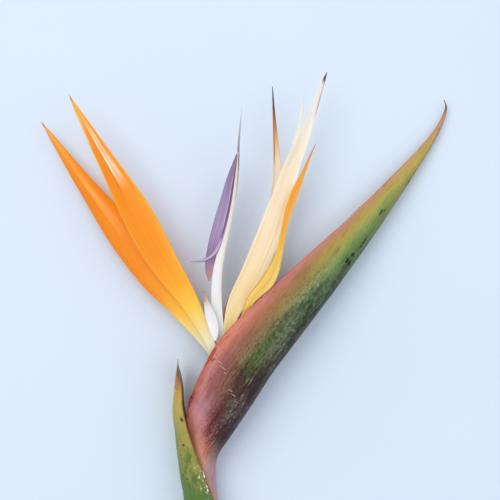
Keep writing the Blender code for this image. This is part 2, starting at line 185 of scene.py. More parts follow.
def leafRings(shape):
    # upper face from margin to margin, then the lower face back: rings and marks for one leaf-like organ
    shape = {**leafBasics, **shape}
    rows, columns = shape["grid"]
    places, length = evenPlaces(shape["spine"], rows)
    path = smoothRows(shape["spine"], places)
    t = np.linspace(0, 1, rows)
    run = t[:, None] * length
    side, up = standUp(path, profile(shape["roll"], t))
    half, camber, fold = (profile(shape[key], t)[:, None] for key in ("halfWidth", "camber", "fold"))
    s = np.sin(np.linspace(-1, 1, columns) * math.pi / 2)[None, :]
    lift = camber * half * (s * s + 0.004) ** (fold / 2)
    if "marginWave" in shape:
        size, height = shape["marginWave"]
        spots = asPoints(run, np.sign(s) * shape["marginsApart"])
        lift = lift + height * lumps(spots, size, shape["seed"]) * np.abs(s) ** 3 * np.minimum(1, half / 3)
    middle = path[:, None] + side[:, None] * (half * s)[..., None] + up[:, None] * lift[..., None]
    belly = shape["thinMargin"] + (1 - shape["thinMargin"]) * (1 - s**2) ** 0.7
    thick = np.minimum(shape["thickness"], half) / 2 * belly
    ribs = shape["veinHeight"] * np.cos(math.pi * shape["veins"] * s) * np.minimum(1, half / 4)
    spots = asPoints(s * half, run / 7)
    ribs = ribs * (0.6 + 0.6 * lumps(spots, 2.2, shape["seed"]))
    ribs = ribs + shape["dents"] * lumps(spots, 4.5, shape["seed"] + 3) * (1 - s**2)
    upper = middle + up[:, None] * (thick + ribs)[..., None]
    lower = middle - up[:, None] * (thick - 0.6 * ribs)[..., None]
    rings = np.concatenate([upper, lower[:, ::-1]], axis=1)
    return rings, sheetMarks((rows, columns), along=t[:, None], across=s, lengthMm=run, acrossMm=s * half)


def tubeRings(shape):
    # a round organ along a spine; lobes give it soft ridges lengthwise
    rows, around = shape["grid"]
    places, length = evenPlaces(shape["spine"], rows)
    path = smoothRows(shape["spine"], places)
    t = np.linspace(0, 1, rows)
    side, up = standUp(path, np.zeros(rows))
    turn = np.linspace(0, 2 * math.pi, around, endpoint=False)[None, :]
    radius = profile(shape["radius"], t)[:, None]
    lobes, lobeDepth = shape.get("lobes", (0, 0))
    ridges = 1 + lobeDepth * (np.cos(lobes * turn + shape.get("twist", 0) * t[:, None]) - 1) * 0.5
    reach = radius * ridges
    rings = path[:, None] + side[:, None] * (reach * np.cos(turn))[..., None] + up[:, None] * (
        reach * np.sin(turn))[..., None]
    if "dents" in shape:
        size, depth = shape["dents"]
        outward = side[:, None] * np.cos(turn)[..., None] + up[:, None] * np.sin(turn)[..., None]
        spots = rings * (1, 0.25, 1)
        rings = rings + outward * (depth * (lumps(spots, size, 2.0) - 0.6))[..., None]
    along, lengthMm = t[:, None], t[:, None] * length
    if "cutFace" in shape:
        # rings closing in over the cut, a little sunk and torn
        centre = rings[0].mean(axis=0)
        inset = np.array((0.05, 0.35, 0.6, 0.8, 0.93, 0.985))[:, None, None]
        face = centre + (rings[0] - centre) * inset
        back = np.gradient(path, axis=0)[0]
        torn = shape["cutFace"] * (0.6 + lumps(face, 0.9, 4.0))[..., None] * (1 - inset**8)
        rings = np.concatenate([face + back / np.linalg.norm(back) * torn, rings])
        along = np.concatenate([np.zeros((len(face), 1)), along])
        lengthMm = np.concatenate([np.zeros((len(face), 1)), lengthMm])
    return rings, {
        "along": along, "across": 0.0, "lengthMm": lengthMm, "acrossMm": radius.mean() * turn,
        "underside": 0.0,
    }


# Materials

def linear(hexColour):
    # an sRGB hex value as linear red, green, blue and alpha
    parts = [int(hexColour[i : i + 2], 16) / 255 for i in (1, 3, 5)]
    return [c / 12.92 if c <= 0.04045 else ((c + 0.055) / 1.055) ** 2.4 for c in parts] + [1.0]


def addNode(tree, kind, settings=(), sockets=()):
    # adds a node; settings name its properties or its ramp's stops, and each socket takes a number, a hex
    # colour, or the node or socket that feeds it
    node = tree.nodes.new("ShaderNode" + kind)
    for key, value in dict(settings).items():
        if key == "stops":
            stops = node.color_ramp.elements
            for position in list(value)[2:]:
                stops.new(position)
            for stop, (position, colour) in zip(stops, value.items()):
                stop.position, stop.color = position, linear(colour)
        else:
            setattr(node, key, value)
    for key, source in dict(sockets).items():
        if isinstance(source, bpy.types.Node):
            source = source.outputs[0]
        if isinstance(source, bpy.types.NodeSocket):
            tree.links.new(source, node.inputs[key])
        else:
            node.inputs[key].default_value = linear(source) if isinstance(source, str) else source
    return node


def startSkin(name, constants):
    # a material with its shader; constants are set on the shader's own sockets
    material = bpy.data.materials.new(name)
    material.use_nodes = True
    tree = material.node_tree
    shader = tree.nodes["Principled BSDF"]
    for socket, value in constants.items():
        shader.inputs[socket].default_value = value
    marks = {
        mark: addNode(tree, "Attribute", {"attribute_name": mark}).outputs["Fac"]
        for mark in ("along", "across", "lengthMm", "acrossMm", "underside")
    }
    return material, tree, shader, marks


def flattened(tree, marks, lengthwise, crosswise, seed=0.0):
    # coordinates over a flattened organ, in steps of lengthwise by crosswise mm; its two faces lie apart
    facesApart = 31.7
    x = addNode(tree, "Math", {"operation": "DIVIDE"}, {0: marks["lengthMm"], 1: lengthwise})
    y = addNode(tree, "Math", {"operation": "DIVIDE"}, {0: marks["acrossMm"], 1: crosswise})
    z = addNode(tree, "Math", {"operation": "MULTIPLY_ADD"}, {0: marks["underside"], 1: facesApart, 2: seed})
    return addNode(tree, "CombineXYZ", (), {0: x, 1: y, 2: z})


def streaks(tree, marks, lengthwise, crosswise, detail=2, seed=0.0):
    # noise from 0 to 1 over a flattened organ, in streaks lengthwise by crosswise mm
    return addNode(tree, "TexNoise", (), {
        "Vector": flattened(tree, marks, lengthwise, crosswise, seed),
        "Scale": 1.0, "Detail": detail, "Roughness": 0.6,
    })


def wobble(tree, value, noiseNode, amount):
    # value pushed up and down by noise
    push = addNode(tree, "Math", {"operation": "MULTIPLY_ADD"}, {0: noiseNode, 1: 2 * amount, 2: -amount})
    return addNode(tree, "Math", {"operation": "ADD"}, {0: value, 1: push})


def within(tree, *limits):
    # limits multiplied together; each is an amount from 0 to 1, or a value, where that gives nothing, where
    # it gives all, and the most it gives if that isn't 1
    amount = None
    for limit in limits:
        if isinstance(limit, tuple):
            value, nothing, full, most = (*limit, 1.0)[:4]
            first, last = (0.0, most) if full > nothing else (most, 0.0)
            limit = addNode(tree, "MapRange", {"interpolation_type": "SMOOTHSTEP"}, {
                "Value": value, "From Min": min(nothing, full), "From Max": max(nothing, full),
                "To Min": first, "To Max": last,
            })
        amount = limit if amount is None else addNode(
            tree, "Math", {"operation": "MULTIPLY"}, {0: amount, 1: limit})
    return amount


def layOver(tree, under, colour, *limits, mode="MIX"):
    # lays a colour over another as far as the limits let it
    return addNode(tree, "MixRGB", {"blend_type": mode}, {
        "Fac": within(tree, *limits), "Color1": under, "Color2": colour})


def layUp(tree, colour, *layers):
    # lays colours over one another; each layer is a colour and its limits
    for layer in layers:
        colour = layOver(tree, colour, *layer)
    return colour


def offsetFrom(tree, mark, middle, half):
    # how far a mark is from its middle, in half widths
    offset = addNode(tree, "Math", {"operation": "SUBTRACT"}, {0: mark, 1: middle})
    return addNode(tree, "Math", {"operation": "DIVIDE"}, {0: offset, 1: half})


def drawLines(tree, marks, colour, lines):
    # lines that run lengthwise: place across, half width across, (from, to) along, colour, strength
    fade = 0.06
    for across, reach, (start, end), lineColour, strength in lines:
        offset = offsetFrom(tree, marks["across"], across, reach)
        away = addNode(tree, "Math", {"operation": "ABSOLUTE"}, {0: offset})
        colour = layOver(
            tree, colour, lineColour, (away, 1, 0.3, strength), (marks["along"], start, start + fade),
            (marks["along"], end, end - fade))
    return colour


def smudge(tree, marks, colour, ragged, lastStation, smudgeColour, smudges):
    # ragged smudges: station, mm across, half length in stations, half width in mm
    for station, across, halfLength, halfWidth in smudges:
        lengthwise = offsetFrom(tree, marks["along"], station / lastStation, halfLength / lastStation)
        crosswise = offsetFrom(tree, marks["acrossMm"], across, halfWidth)
        away = addNode(tree, "CombineXYZ", (), {0: lengthwise, 1: crosswise})
        away = addNode(tree, "VectorMath", {"operation": "LENGTH"}, {0: away}).outputs["Value"]
        away = wobble(tree, away, ragged, 1.6)
        colour = layOver(tree, colour, smudgeColour, (away, 1.1, 0.75, 0.92))
    return colour


def finishSkin(tree, shader, colour, roughness, height, depth):
    # roughness is (node, lowest, highest); depth is the height map's real depth in mm
    node, low, high = roughness
    spread = addNode(tree, "MapRange", (), {"Value": node, "To Min": low, "To Max": high})
    bump = addNode(tree, "Bump", (), {"Height": height, "Strength": 1.0, "Distance": depth * mm})
    for socket, source in (("Base Color", colour), ("Roughness", spread), ("Normal", bump)):
        tree.links.new(source.outputs[0], shader.inputs[socket])


sepalBasics = {
    # side entries paint one side lighter or darker, as light and shade fall on it: across from, to, colour,
    # strength; patches: (from, to) along, (from, to) across, colour, strength
    "sideLightAndShade": (), "patches": (), "lines": (), "veinsFrom": -0.2, "drift": 0.04, "flesh": 0.15, "gloss": 0.0,
    "marginStrength": 0.4, "broadStreaks": 0.4, "fineStreaks": 0.3,
}


def sepalSkin(name, look):
    # A fresh sepal is fleshy with a smooth cuticle: satin, faintly see-through, with parallel veins that show
    # as fine streaks. Real veins stand 0.4 to 0.6 mm apart; these streaks are 0.7 mm so that they show.
    look = {**sepalBasics, **look}
    material, tree, shader, marks = startSkin(name, {
        "IOR": 1.42, "Subsurface Weight": look["flesh"], "Subsurface Radius": (0.9, 0.45, 0.15),
        "Subsurface Scale": 1.2 * mm, "Coat Weight": look["gloss"], "Coat Roughness": 0.32,
        "Specular IOR Level": 0.45,
    })
    fine = streaks(tree, marks, 26, 0.7, 3)
    broad = streaks(tree, marks, 55, 2.4, 2, 5.0)
    blotch = streaks(tree, marks, 14, 7, 3, 9.0)
    along, across = marks["along"], marks["across"]
    place = wobble(tree, along, broad, look["drift"])
    colour = addNode(tree, "ValToRGB", {"stops": look["alongIt"]}, {"Fac": place})
    for start, end, sideColour, strength in look["sideLightAndShade"]:
        colour = layOver(tree, colour, sideColour, (across, start, end, strength), (place, 0.2, 0.35))
    veined = (along, look["veinsFrom"], look["veinsFrom"] + 0.2)
    edge = addNode(tree, "Math", {"operation": "ABSOLUTE"}, {0: across})
    colour = layUp(
        tree, colour,
        (look["shade"], (broad, 0.56, 0.32, look["broadStreaks"]), veined),
        (look["light"], (broad, 0.5, 0.8, look["broadStreaks"]), veined),
        (look["vein"], (fine, 0.5, 0.26, look["fineStreaks"]), veined),
        (look["light"], (fine, 0.54, 0.82, look["fineStreaks"]), veined),
        (look["margin"], (edge, 0.72, 1.0, look["marginStrength"]), veined),
    )
    reach = wobble(tree, along, fine, 0.05)
    for (start, end), (left, right), patchColour, strength in look["patches"]:
        soft, softAcross = (end - start) * 0.4, 0.3
        colour = layOver(
            tree, colour, patchColour, (reach, start, start + soft, strength), (reach, end, end - soft),
            (across, left, left + softAcross), (across, right, right - softAcross), (fine, 0.3, 0.6),
        )
    colour = drawLines(tree, marks, colour, look["lines"])
    colour = layUp(
        tree, colour,
        (look["back"], marks["underside"], (blotch, 0, 1, 0.5)),
        (look["tip"], (place, *look["tipFrom"])),
    )
    height = layOver(tree, fine, broad, 0.4)
    finishSkin(tree, shader, colour, (blotch, *look["roughness"]), height, look["relief"])
    return material


def grow(name, node, slotName, material, *skins):
    # the piece stands for its solid, whose mesh it hides, rides with it, and takes the material it is given
    piece = weave(name, *skins)
    piece.data.materials.append(material)
    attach(piece, "root")
    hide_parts(node)
    return piece


# The fresh floret's three sepals

orangeFlesh = {
    "alongIt": {
        0.0: "#EFE8D2", 0.11: "#F3E7C2", 0.16: "#FBDD88", 0.225: "#FFCA40", 0.31: "#FFAC1C",
        0.42: "#FD9504", 0.72: "#FC8F02", 0.9: "#FCA224", 1.0: "#EFB248",
    },
    "shade": "#F68402", "light": "#FFAA20", "vein": "#F08600", "margin": "#FFAE30", "back": "#FF9A18",
    "tip": "#8A6A44", "tipFrom": (0.975, 1.0), "marginStrength": 0.5, "broadStreaks": 0.35,
    "fineStreaks": 0.16, "veinsFrom": 0.2, "drift": 0.03, "gloss": 0.1, "roughness": (0.36, 0.5),
    "relief": 0.05,
    # painted highlight: the right side of the upper sepal is lighter, where the light falls on it
    "sideLightAndShade": [(0.2, 1.0, "#FFB63C", 0.6)],
}
highlitSepalSkin = sepalSkin("orangeSepalSkin", {
    **orangeFlesh,
    # painted light on the folded tip: the first patch is a painted highlight in pale streaks, the dark line
    # along the fold is painted crease shade, and the ivory stroke beside it is a painted highlight
    "patches": [
        ((0.64, 0.94), (-0.3, 0.75), "#FFE6BE", 1.0), ((0.86, 1.0), (-0.9, 0.6), "#FBD080", 0.7),
    ],
    "lines": [
        (-0.14, 0.1, (0.62, 1.0), "#D97A10", 0.8), (0.2, 0.06, (0.66, 0.86), "#E88810", 0.7),
        (0.72, 0.14, (0.6, 0.96), "#F58A08", 0.7), (0.07, 0.06, (0.7, 0.84), "#FFF3DC", 0.8),
        (-0.85, 0.16, (0.8, 0.98), "#FBDFA8", 0.8),
    ],
})
# the shaded copy of the orange sepal skin: its side entries are painted shade, darker along the left edge and
# where the upper sepal overlaps the right side, and its patch is a painted golden sheen
shadedSepalSkin = sepalSkin("shadedOrangeSepalSkin", {
    **orangeFlesh, "sideLightAndShade": [(-0.2, -1.0, "#E87C02", 0.65), (0.5, 1.0, "#F08608", 0.5)], "margin": "#F59210",
    "patches": [((0.5, 0.86), (-0.25, 0.5), "#FDB650", 0.7)],
    "lines": [(-0.3, 0.12, (0.62, 1.0), "#E2800F", 0.6)],
})

sepalUpper = {
    "spine": [
        (-11.0, -48.0, 12.2), (-14.6, -39.6, 12.4), (-23.2, -22, 13.8), (-34.8, -4, 15.4),
        (-45.3, 14.8, 16.4), (-56, 33.6, 16.0), (-62.8, 45.2, 15.0), (-71.9, 61.5, 13.0),
    ],
    "halfWidth": [
        (0, 1.26), (0.08, 1.6), (0.15, 2.3), (0.24, 3.5), (0.33, 4.85), (0.42, 5.8), (0.51, 6.3),
        (0.59, 5.85), (0.68, 4.65), (0.77, 3.35), (0.87, 2.15), (0.94, 1.2), (1, 0.08),
    ],
    "camber": [(0, 0.3), (0.2, 0.25), (0.5, 0.24), (0.7, 0.5), (0.85, 0.75), (1, 0.6)],
    "fold": [(0, 2), (0.5, 1.9), (0.72, 1.12), (1, 1.08)],
    "roll": [(0, 0), (0.3, -6), (0.7, -10), (1, 0)],
    "thickness": 0.8, "veins": 9, "veinHeight": 0.02, "seed": 1.0, "grid": (240, 41),
    "marginWave": (16, 0.35),
}
sepalLower = {
    "spine": [
        (-11.2, -48.0, 10.0), (-16.4, -39.2, 9.9), (-28.4, -22.1, 9.6), (-37.4, -11.8, 9.2),
        (-47.2, 0.5, 8.8), (-57, 13.8, 8.4), (-68.6, 29.4, 7.4), (-77.2, 41.8, 6.4), (-84.1, 51.6, 5.6),
    ],
    "halfWidth": [
        (0, 1.26), (0.08, 1.6), (0.15, 2.6), (0.25, 4.5), (0.36, 6.0), (0.48, 6.3), (0.6, 5.7),
        (0.74, 3.65), (0.87, 1.95), (0.95, 0.9), (1, 0.08),
    ],
    "camber": [(0, 0.3), (0.2, 0.1), (0.5, -0.12), (0.8, -0.25), (1, 0)],
    "fold": [(0, 2), (0.5, 1.7), (0.8, 1.35), (1, 1.3)],
    "roll": [(0, 0), (0.4, 6), (1, 4)],
    "thickness": 0.8, "veins": 9, "veinHeight": 0.025, "seed": 2.0, "grid": (240, 41),
    "marginWave": (20, 0.3),
}
sepalUnder = {
    "spine": [
        (-11.2, -48.0, 7.9), (-16.2, -39.2, 7.5), (-27.0, -23, 5.6), (-37.0, -10.6, 3.8),
        (-48.0, 2.6, 2.4), (-58.6, 16, 1.3), (-69.5, 30.6, 0.7),
    ],
    "halfWidth": [
        (0, 1.26), (0.08, 1.6), (0.2, 3.15), (0.35, 4.8), (0.55, 5.15), (0.75, 3.5), (0.92, 1.4), (1, 0.08),
    ],
    "camber": [(0, 0.2), (0.3, 0.1), (0.6, 0.08), (1, 0.1)],
    "thickness": 0.7, "veins": 8, "veinHeight": 0.04, "seed": 3.0, "grid": (200, 33), "dents": 0.05,
}
grow("upperSepal", "sepal_upper", "orange_sepal", highlitSepalSkin, leafRings(sepalUpper))
grow("lowerSepal", "sepal_lower", "orange_sepal", shadedSepalSkin, leafRings(sepalLower))
grow("underSepal", "sepal_under", "orange_sepal", shadedSepalSkin, leafRings(sepalUnder))
print("fresh sepals: 3")


# The older floret's three sepals, each faded in its own way

creamSepal = sepalSkin("fadedCreamSepalSkin", {
    "alongIt": {
        0.0: "#F6D67C", 0.12: "#F9DC8C", 0.2: "#FBE0A2", 0.3: "#FEE4B4", 0.45: "#FDE7C2",
        0.66: "#FAE5C4", 0.78: "#F4EADA", 0.88: "#ECECEA", 1.0: "#E4E4E2",
    },
    "shade": "#F8D7A6", "light": "#FFF1DA", "vein": "#F5D2A0", "margin": "#FDEFD6", "back": "#F6E0B2",
    "tip": "#5E3020", "tipFrom": (0.955, 0.985), "marginStrength": 0.6, "broadStreaks": 0.45, "drift": 0.05,
    "gloss": 0.03, "roughness": (0.45, 0.62), "relief": 0.07,
    "patches": [
        ((0.1, 0.5), (-1.3, -0.1), "#FFDCB4", 0.6), ((0.8, 1.05), (0.3, 1.4), "#B98450", 0.85),
        # the near-white patch along the right margin is a painted highlight on the rolled margin
        ((0.18, 0.82), (0.5, 1.4), "#F6F2EE", 0.85),
    ],
    "lines": [(0.45, 0.08, (0.15, 0.62), "#EDC48A", 0.5), (-0.75, 0.14, (0.1, 0.5), "#F4CF8E", 0.5)],
})
goldSepal = sepalSkin("goldSepalSkin", {
    "alongIt": {
        0.0: "#F9C94E", 0.25: "#FFD970", 0.4: "#FED262", 0.5: "#F8BC44", 0.6: "#F6A82E",
        0.7: "#F59C22", 0.9: "#F0911E", 1.0: "#C0682C",
    },
    "shade": "#F3B63E", "light": "#FFE390", "vein": "#EDAA36", "margin": "#FBD77E", "back": "#F7BE50",
    "tip": "#8A5530", "tipFrom": (0.96, 1.0), "broadStreaks": 0.5, "gloss": 0.08, "roughness": (0.42, 0.58),
    "relief": 0.08,
    "patches": [((0.2, 0.55), (0.0, 0.8), "#FEE79E", 0.7)],
    "lines": [
        (0.1, 0.1, (0.15, 0.5), "#E0A038", 0.6), (-0.95, 0.22, (0.12, 0.52), "#DC9630", 0.8),
        (-0.1, 0.2, (0.5, 0.85), "#E08F22", 0.5),
    ],
})
tanSepal = sepalSkin("driedTanSepalSkin", {
    "alongIt": {
        0.0: "#DDA23C", 0.3: "#E6B454", 0.5: "#F4DEB6", 0.62: "#FBEACF", 0.74: "#F9E2C0",
        0.8: "#E2AE72", 0.85: "#B0622C", 0.91: "#542C20", 1.0: "#241A1C",
    },
    "shade": "#DCA868", "light": "#FAEBD4", "vein": "#BC8650", "margin": "#BE8048", "back": "#D0A468",
    "tip": "#221A1C", "tipFrom": (0.93, 0.98), "fineStreaks": 0.4, "flesh": 0.08, "roughness": (0.55, 0.75),
    "relief": 0.1,
    "lines": [(-0.7, 0.3, (0.7, 0.97), "#8A4A26", 0.7)],
})

# The tip of the broad sepal has torn: most of it bends right and browns, and a thin strand stands free
oldSepalBroad = {
    "spine": [
        (-3.9, -41.2, 11.8), (-8.6, -33.4, 11.6), (-7.6, -27, 11.6), (-4.7, -19.6, 11.8), (0.6, -10, 12.3),
        (6.9, 4.5, 12.8), (12.2, 20, 13.4), (16.8, 34, 14.5), (18.9, 39, 14.8), (21.4, 44.5, 15.0),
        (23.4, 50, 14.9), (26.0, 58, 14.7), (28.2, 64.5, 14.6), (30.6, 70.6, 14.5),
    ],
    "halfWidth": [
        (0, 1.1), (0.075, 1.4), (0.13, 2.5), (0.2, 3.8), (0.29, 4.6), (0.42, 4.8), (0.5, 4.5), (0.57, 3.9),
        (0.68, 3.2), (0.725, 2.7), (0.775, 1.95), (0.825, 1.6), (0.895, 1.3), (0.955, 0.85), (1, 0.1),
    ],
    "camber": [(0, 0.3), (0.2, 0.1), (0.5, 0.1), (0.75, 0.35), (1, 0.4)],
    "fold": [(0, 2), (0.5, 1.8), (0.8, 1.4), (1, 1.4)],
    "roll": [(0, 0), (0.2, -6), (0.42, -6), (0.8, -4), (1, 0)],
    "thickness": 0.7, "veins": 8, "seed": 4.0, "grid": (240, 41), "marginWave": (9, 0.4),
}
tornStrand = {
    "spine": [
        (15.2, 33.5, 14.9), (17.1, 39, 15.2), (18.9, 45, 15.5), (20.1, 51, 15.8), (20.8, 56.5, 16.2),
        (21.2, 61.3, 16.6),
    ],
    "halfWidth": [(0, 0.3), (0.18, 1.0), (0.3, 1.15), (0.5, 0.85), (0.75, 0.5), (1, 0.06)],
    "camber": [(0, 0.1), (1, 0.5)],
    "thickness": 0.5, "veins": 3, "veinHeight": 0.02, "seed": 4.5, "grid": (90, 17), "dents": 0.04,
}
oldSepalForward = {
    "spine": [
        (-2.0, -41.0, 9.8), (-3.0, -31, 10.0), (0.3, -20.2, 13.1), (7.1, -12, 13.8), (11, -3, 14.1),
        (13.3, 8, 14.6), (15.5, 16.5, 14.9), (18.3, 24, 14.7), (21.3, 31, 13.8), (23.7, 36.9, 13.0),
        (26.2, 42.3, 12.4),
    ],
    "halfWidth": [
        (0, 1.0), (0.111, 1.4), (0.239, 1.9), (0.31, 2.6), (0.356, 3.0), (0.41, 2.6), (0.464, 1.75),
        (0.52, 1.35), (0.589, 1.2), (0.687, 1.5), (0.776, 1.5), (0.862, 0.8), (0.933, 0.42), (1, 0.08),
    ],
    "camber": [(0, 0.2), (0.3, 0.05), (0.45, 0.12), (0.6, 0.3), (1, 0.4)],
    "fold": [(0, 1.4), (0.4, 1.3), (1, 1.3)],
    "roll": [(0, 0), (0.12, 0), (0.24, -18), (0.42, -22), (0.6, -10), (0.8, 0), (1, 0)],
    "thickness": 0.7, "veins": 5, "seed": 5.0, "grid": (200, 33), "marginWave": (8, 0.2),
}
oldSepalBack = {
    "spine": [
        (-4.0, -41.2, 8.2), (-9.3, -31.6, 8.0), (-7.4, -22.5, 7.8), (-3.4, -14, 7.8), (0.6, -6, 7.9),
        (4.6, 3, 8.2), (8.6, 15, 8.8), (10.9, 27, 9.2), (10.7, 37, 9.2), (10.1, 47, 9.2), (9.5, 56, 9.2),
        (9, 65.6, 9.2),
    ],
    "halfWidth": [
        (0, 1.0), (0.098, 1.9), (0.181, 2.4), (0.265, 2.5), (0.345, 2.3), (0.433, 2.1), (0.546, 1.9),
        (0.655, 1.75), (0.745, 1.35), (0.834, 0.85), (0.914, 0.5), (1, 0.1),
    ],
    "camber": [(0, 0.2), (0.5, 0.3), (1, 0.6)],
    "fold": [(0, 1.8), (1, 1.3)],
    "thickness": 0.6, "veins": 5, "seed": 6.0, "grid": (220, 29), "marginWave": (6, 0.2),
}
strandRings, strandMarks = leafRings(tornStrand)
strandMarks["along"] = 0.64 + 0.28 * strandMarks["along"]  # coloured like the part of the sepal it tore from
grow(
    "creamOldSepal", "old_sepal_broad", "faded_sepal", creamSepal, leafRings(oldSepalBroad),
    (strandRings, strandMarks))
grow("goldOldSepal", "old_sepal_forward", "golden_sepal", goldSepal, leafRings(oldSepalForward))
grow("tanOldSepal", "old_sepal_back", "faded_sepal", tanSepal, leafRings(oldSepalBack))
print("old sepals: 3")


# The spathe: the folded, beak-shaped bract

beak = {
    # foot to tip: slit edge x, y; keel edge x, y; height of the middle; half thickness
    "stations": [
        (-24.35, -114.56, -12.05, -113.44, 7.5, 6.15), (-25.3, -100, -13.0, -100, 7.5, 6.2),
        (-25.9, -89, -13.7, -90.5, 7.7, 6.2), (-24.9, -75.5, -12.9, -82.8, 8.2, 7.2),
        (-25.1, -63.2, -8.0, -75.0, 9.2, 9.0), (-19.6, -49.0, 0.4, -62.6, 9.9, 9.8),
        (-11.1, -34.3, 9.3, -48.9, 10.0, 10.0), (3.6, -19.7, 21.6, -32.6, 9.6, 9.4),
        (20.3, -4.5, 34.9, -15.0, 8.3, 8.0), (41.2, 14.3, 51.0, 7.4, 5.9, 5.4),
        (62.1, 34.7, 66.9, 31.2, 3.5, 2.7), (73.6, 47.3, 76.0, 46.2, 2.3, 1.25),
        (78.9, 56.8, 79.8, 56.2, 2.0, 0.5), (78.7, 60.9, 78.95, 60.9, 2.0, 0.15),
    ],
    "mouth": (4.3, 7.8),  # the open stretch of the slit, in stations
    "mouthHalfGap": 3.6,
    "hollow": (3.4, 10.6),
    "wall": 1.7,
    "lipWall": 0.75,
    "fullest": 0.42,  # share of the way from keel to slit where the flanks are widest
    "lipHeight": (0.10, 0.48),  # share of the flank, where the slit is shut and where it is widest open
    "roundNeck": (2.2, 3.6),  # where the neck turns from round to folded, in stations
    "creased": (2.6, 3.4, 3.9, 4.8),  # creases come in over the first two stations and go over the last two
    "veinHeight": 0.07, "dentDepth": 0.28, "creaseHeight": 0.16, "lipWaver": 0.22,
    "lowest": 0.05,  # the belly lies on the floor
    "grid": (380, 46),  # along it, and from keel to slit on one flank
}
beakEnd = len(beak["stations"]) - 1


def flankAt(n, lip):
    low = np.sqrt(np.clip(1 - ((beak["fullest"] - n) / beak["fullest"]) ** 2, 0, 1))
    fall = 0.5 + 0.5 * np.cos(math.pi * (n - beak["fullest"]) / (1 - beak["fullest"]))
    return np.where(n <= beak["fullest"], low, lip + (1 - lip) * fall)


def spatheRings():
    rows, columns = beak["grid"]
    middles = [((a + c) / 2, (b + d) / 2, z) for a, b, c, d, z, _ in beak["stations"]]
    places, length = evenPlaces(middles, rows)
    stations = smoothRows(beak["stations"], places)
    slit = np.column_stack([stations[:, :2], stations[:, 4]])[:, None]
    keel = np.column_stack([stations[:, 2:4], stations[:, 4]])[:, None]
    thick, place = stations[:, 5:6], places[:, None]
    depth = np.linalg.norm(slit - keel, axis=2)
    start, end = beak["mouth"]
    middle, reach = (start + end) / 2, (end - start) / 2
    opening = np.sqrt(np.clip(1 - ((place - middle) / reach) ** 2, 0, 1))
    lip = beak["lipHeight"][0] + (beak["lipHeight"][1] - beak["lipHeight"][0]) * opening
    neckStart, neckEnd = beak["roundNeck"]
    roundNeck = np.clip((neckEnd - place) / (neckEnd - neckStart), 0, 1)

    def half(n):
        circle = np.sqrt(np.clip(1 - (2 * n - 1) ** 2, 0.0004, 1))
        folded = flankAt(n, lip)
        return thick * (folded + (circle - folded) * roundNeck)

    # steps from keel to slit, close together round the keel
    u = np.linspace(0, 1, columns)
    turnEnd = 0.45
    n = np.where(
        u < turnEnd, beak["fullest"] * (1 - np.cos(u / turnEnd * math.pi / 2)),
        beak["fullest"] + (1 - beak["fullest"]) * (u - turnEnd) / (1 - turnEnd),
    )[None, :]
    out = half(n)
    up = np.array((0, 0, 1.0))
    top = keel + (slit - keel) * n[..., None] + up * out[..., None]

    # the hollow stops short of the keel by one wall, and closes towards the neck and the tip
    hollowness = easeStep(beak["hollow"][0], beak["hollow"][0] + 1.0, place) * (
        1 - easeStep(beak["hollow"][1] - 2.2, beak["hollow"][1], place))
    floor = 1 - (1 - beak["wall"] / depth) * np.maximum(hollowness, 0.02)
    inner = floor + (1 - floor) * n
    wall = beak["wall"] + (beak["lipWall"] - beak["wall"]) * inner**3
    gap = np.maximum(0.04, half(inner) - wall)
    gap = np.maximum(gap, opening * beak["mouthHalfGap"] * (n > 0.02))
    gap = np.minimum(gap, half(inner) * 0.93) * np.minimum(1, 6 * n)

    # lengthwise veins, shallow dents, and creases where the neck turns into the boat
    girth = np.concatenate([np.zeros((rows, 1)), np.cumsum(
        np.linalg.norm(np.diff(top, axis=1), axis=2), axis=1)], axis=1)
    run = np.broadcast_to(np.linspace(0, length, rows)[:, None], girth.shape)
    calm = np.minimum(1, thick / 5)
    spots = asPoints(run / 16, girth / 1.5)
    softSpots = asPoints(run / 2.4, girth)
    edge = np.clip(1 - n, 0, 1)

    def relief(seed):
        veins = beak["veinHeight"] * lumps(spots, 1.0, seed)
        dents = beak["dentDepth"] * lumps(softSpots, 6.5, seed + 1)
        bend = easeStep(*beak["creased"][:2], place) * (1 - easeStep(*beak["creased"][2:], place))
        creases = beak["creaseHeight"] * bend * lumps(asPoints(run / 5, girth), 2.0, seed + 2)
        return calm * (veins + dents * np.minimum(1, 3 * edge) * np.minimum(1, 5 * n) + creases)

    def outward(seed):
        return up * relief(seed)[..., None]

    # the lip wavers a little, as a cut leaf edge does
    waver = (slit - keel) / depth[..., None] * (
        beak["lipWaver"] * calm * lumps(asPoints(run, 0), 5.0, 9.0) * n**10)[..., None]
    mirror = np.array((1, 1, -1.0))
    axisHeight = up * stations[:, 4][:, None, None]

    def under(points):
        return (points - axisHeight) * mirror + axisHeight

    drop = up * 0.12  # lets the relief stand inside the solid
    topSkin = top + outward(1.0) - drop + waver
    bottomSkin = under(top + outward(4.0) - drop) + waver
    bottomSkin[..., 2] = np.maximum(bottomSkin[..., 2], beak["lowest"])
    inside = keel + (slit - keel) * inner[..., None] + up * gap[..., None] + waver
    insideLow = under(inside - waver) + waver

    def around(first, second, third, fourth):
        # over the top flank to the keel, under to the slit, and back inside the lower and the upper flank
        return np.concatenate([first[:, ::-1], second[:, 1:], third[:, ::-1], fourth[:, 1:]], axis=1)

    return around(topSkin, bottomSkin, insideLow, inside), {
        "along": place / beakEnd,
        "across": around(*4 * [np.broadcast_to(n, girth.shape)]),
        "lengthMm": around(*4 * [run]),
        "acrossMm": around(girth, -girth, -girth, girth),
        "underside": np.repeat([[0.0, 1.0]], 2 * columns - 1, axis=1),
    }


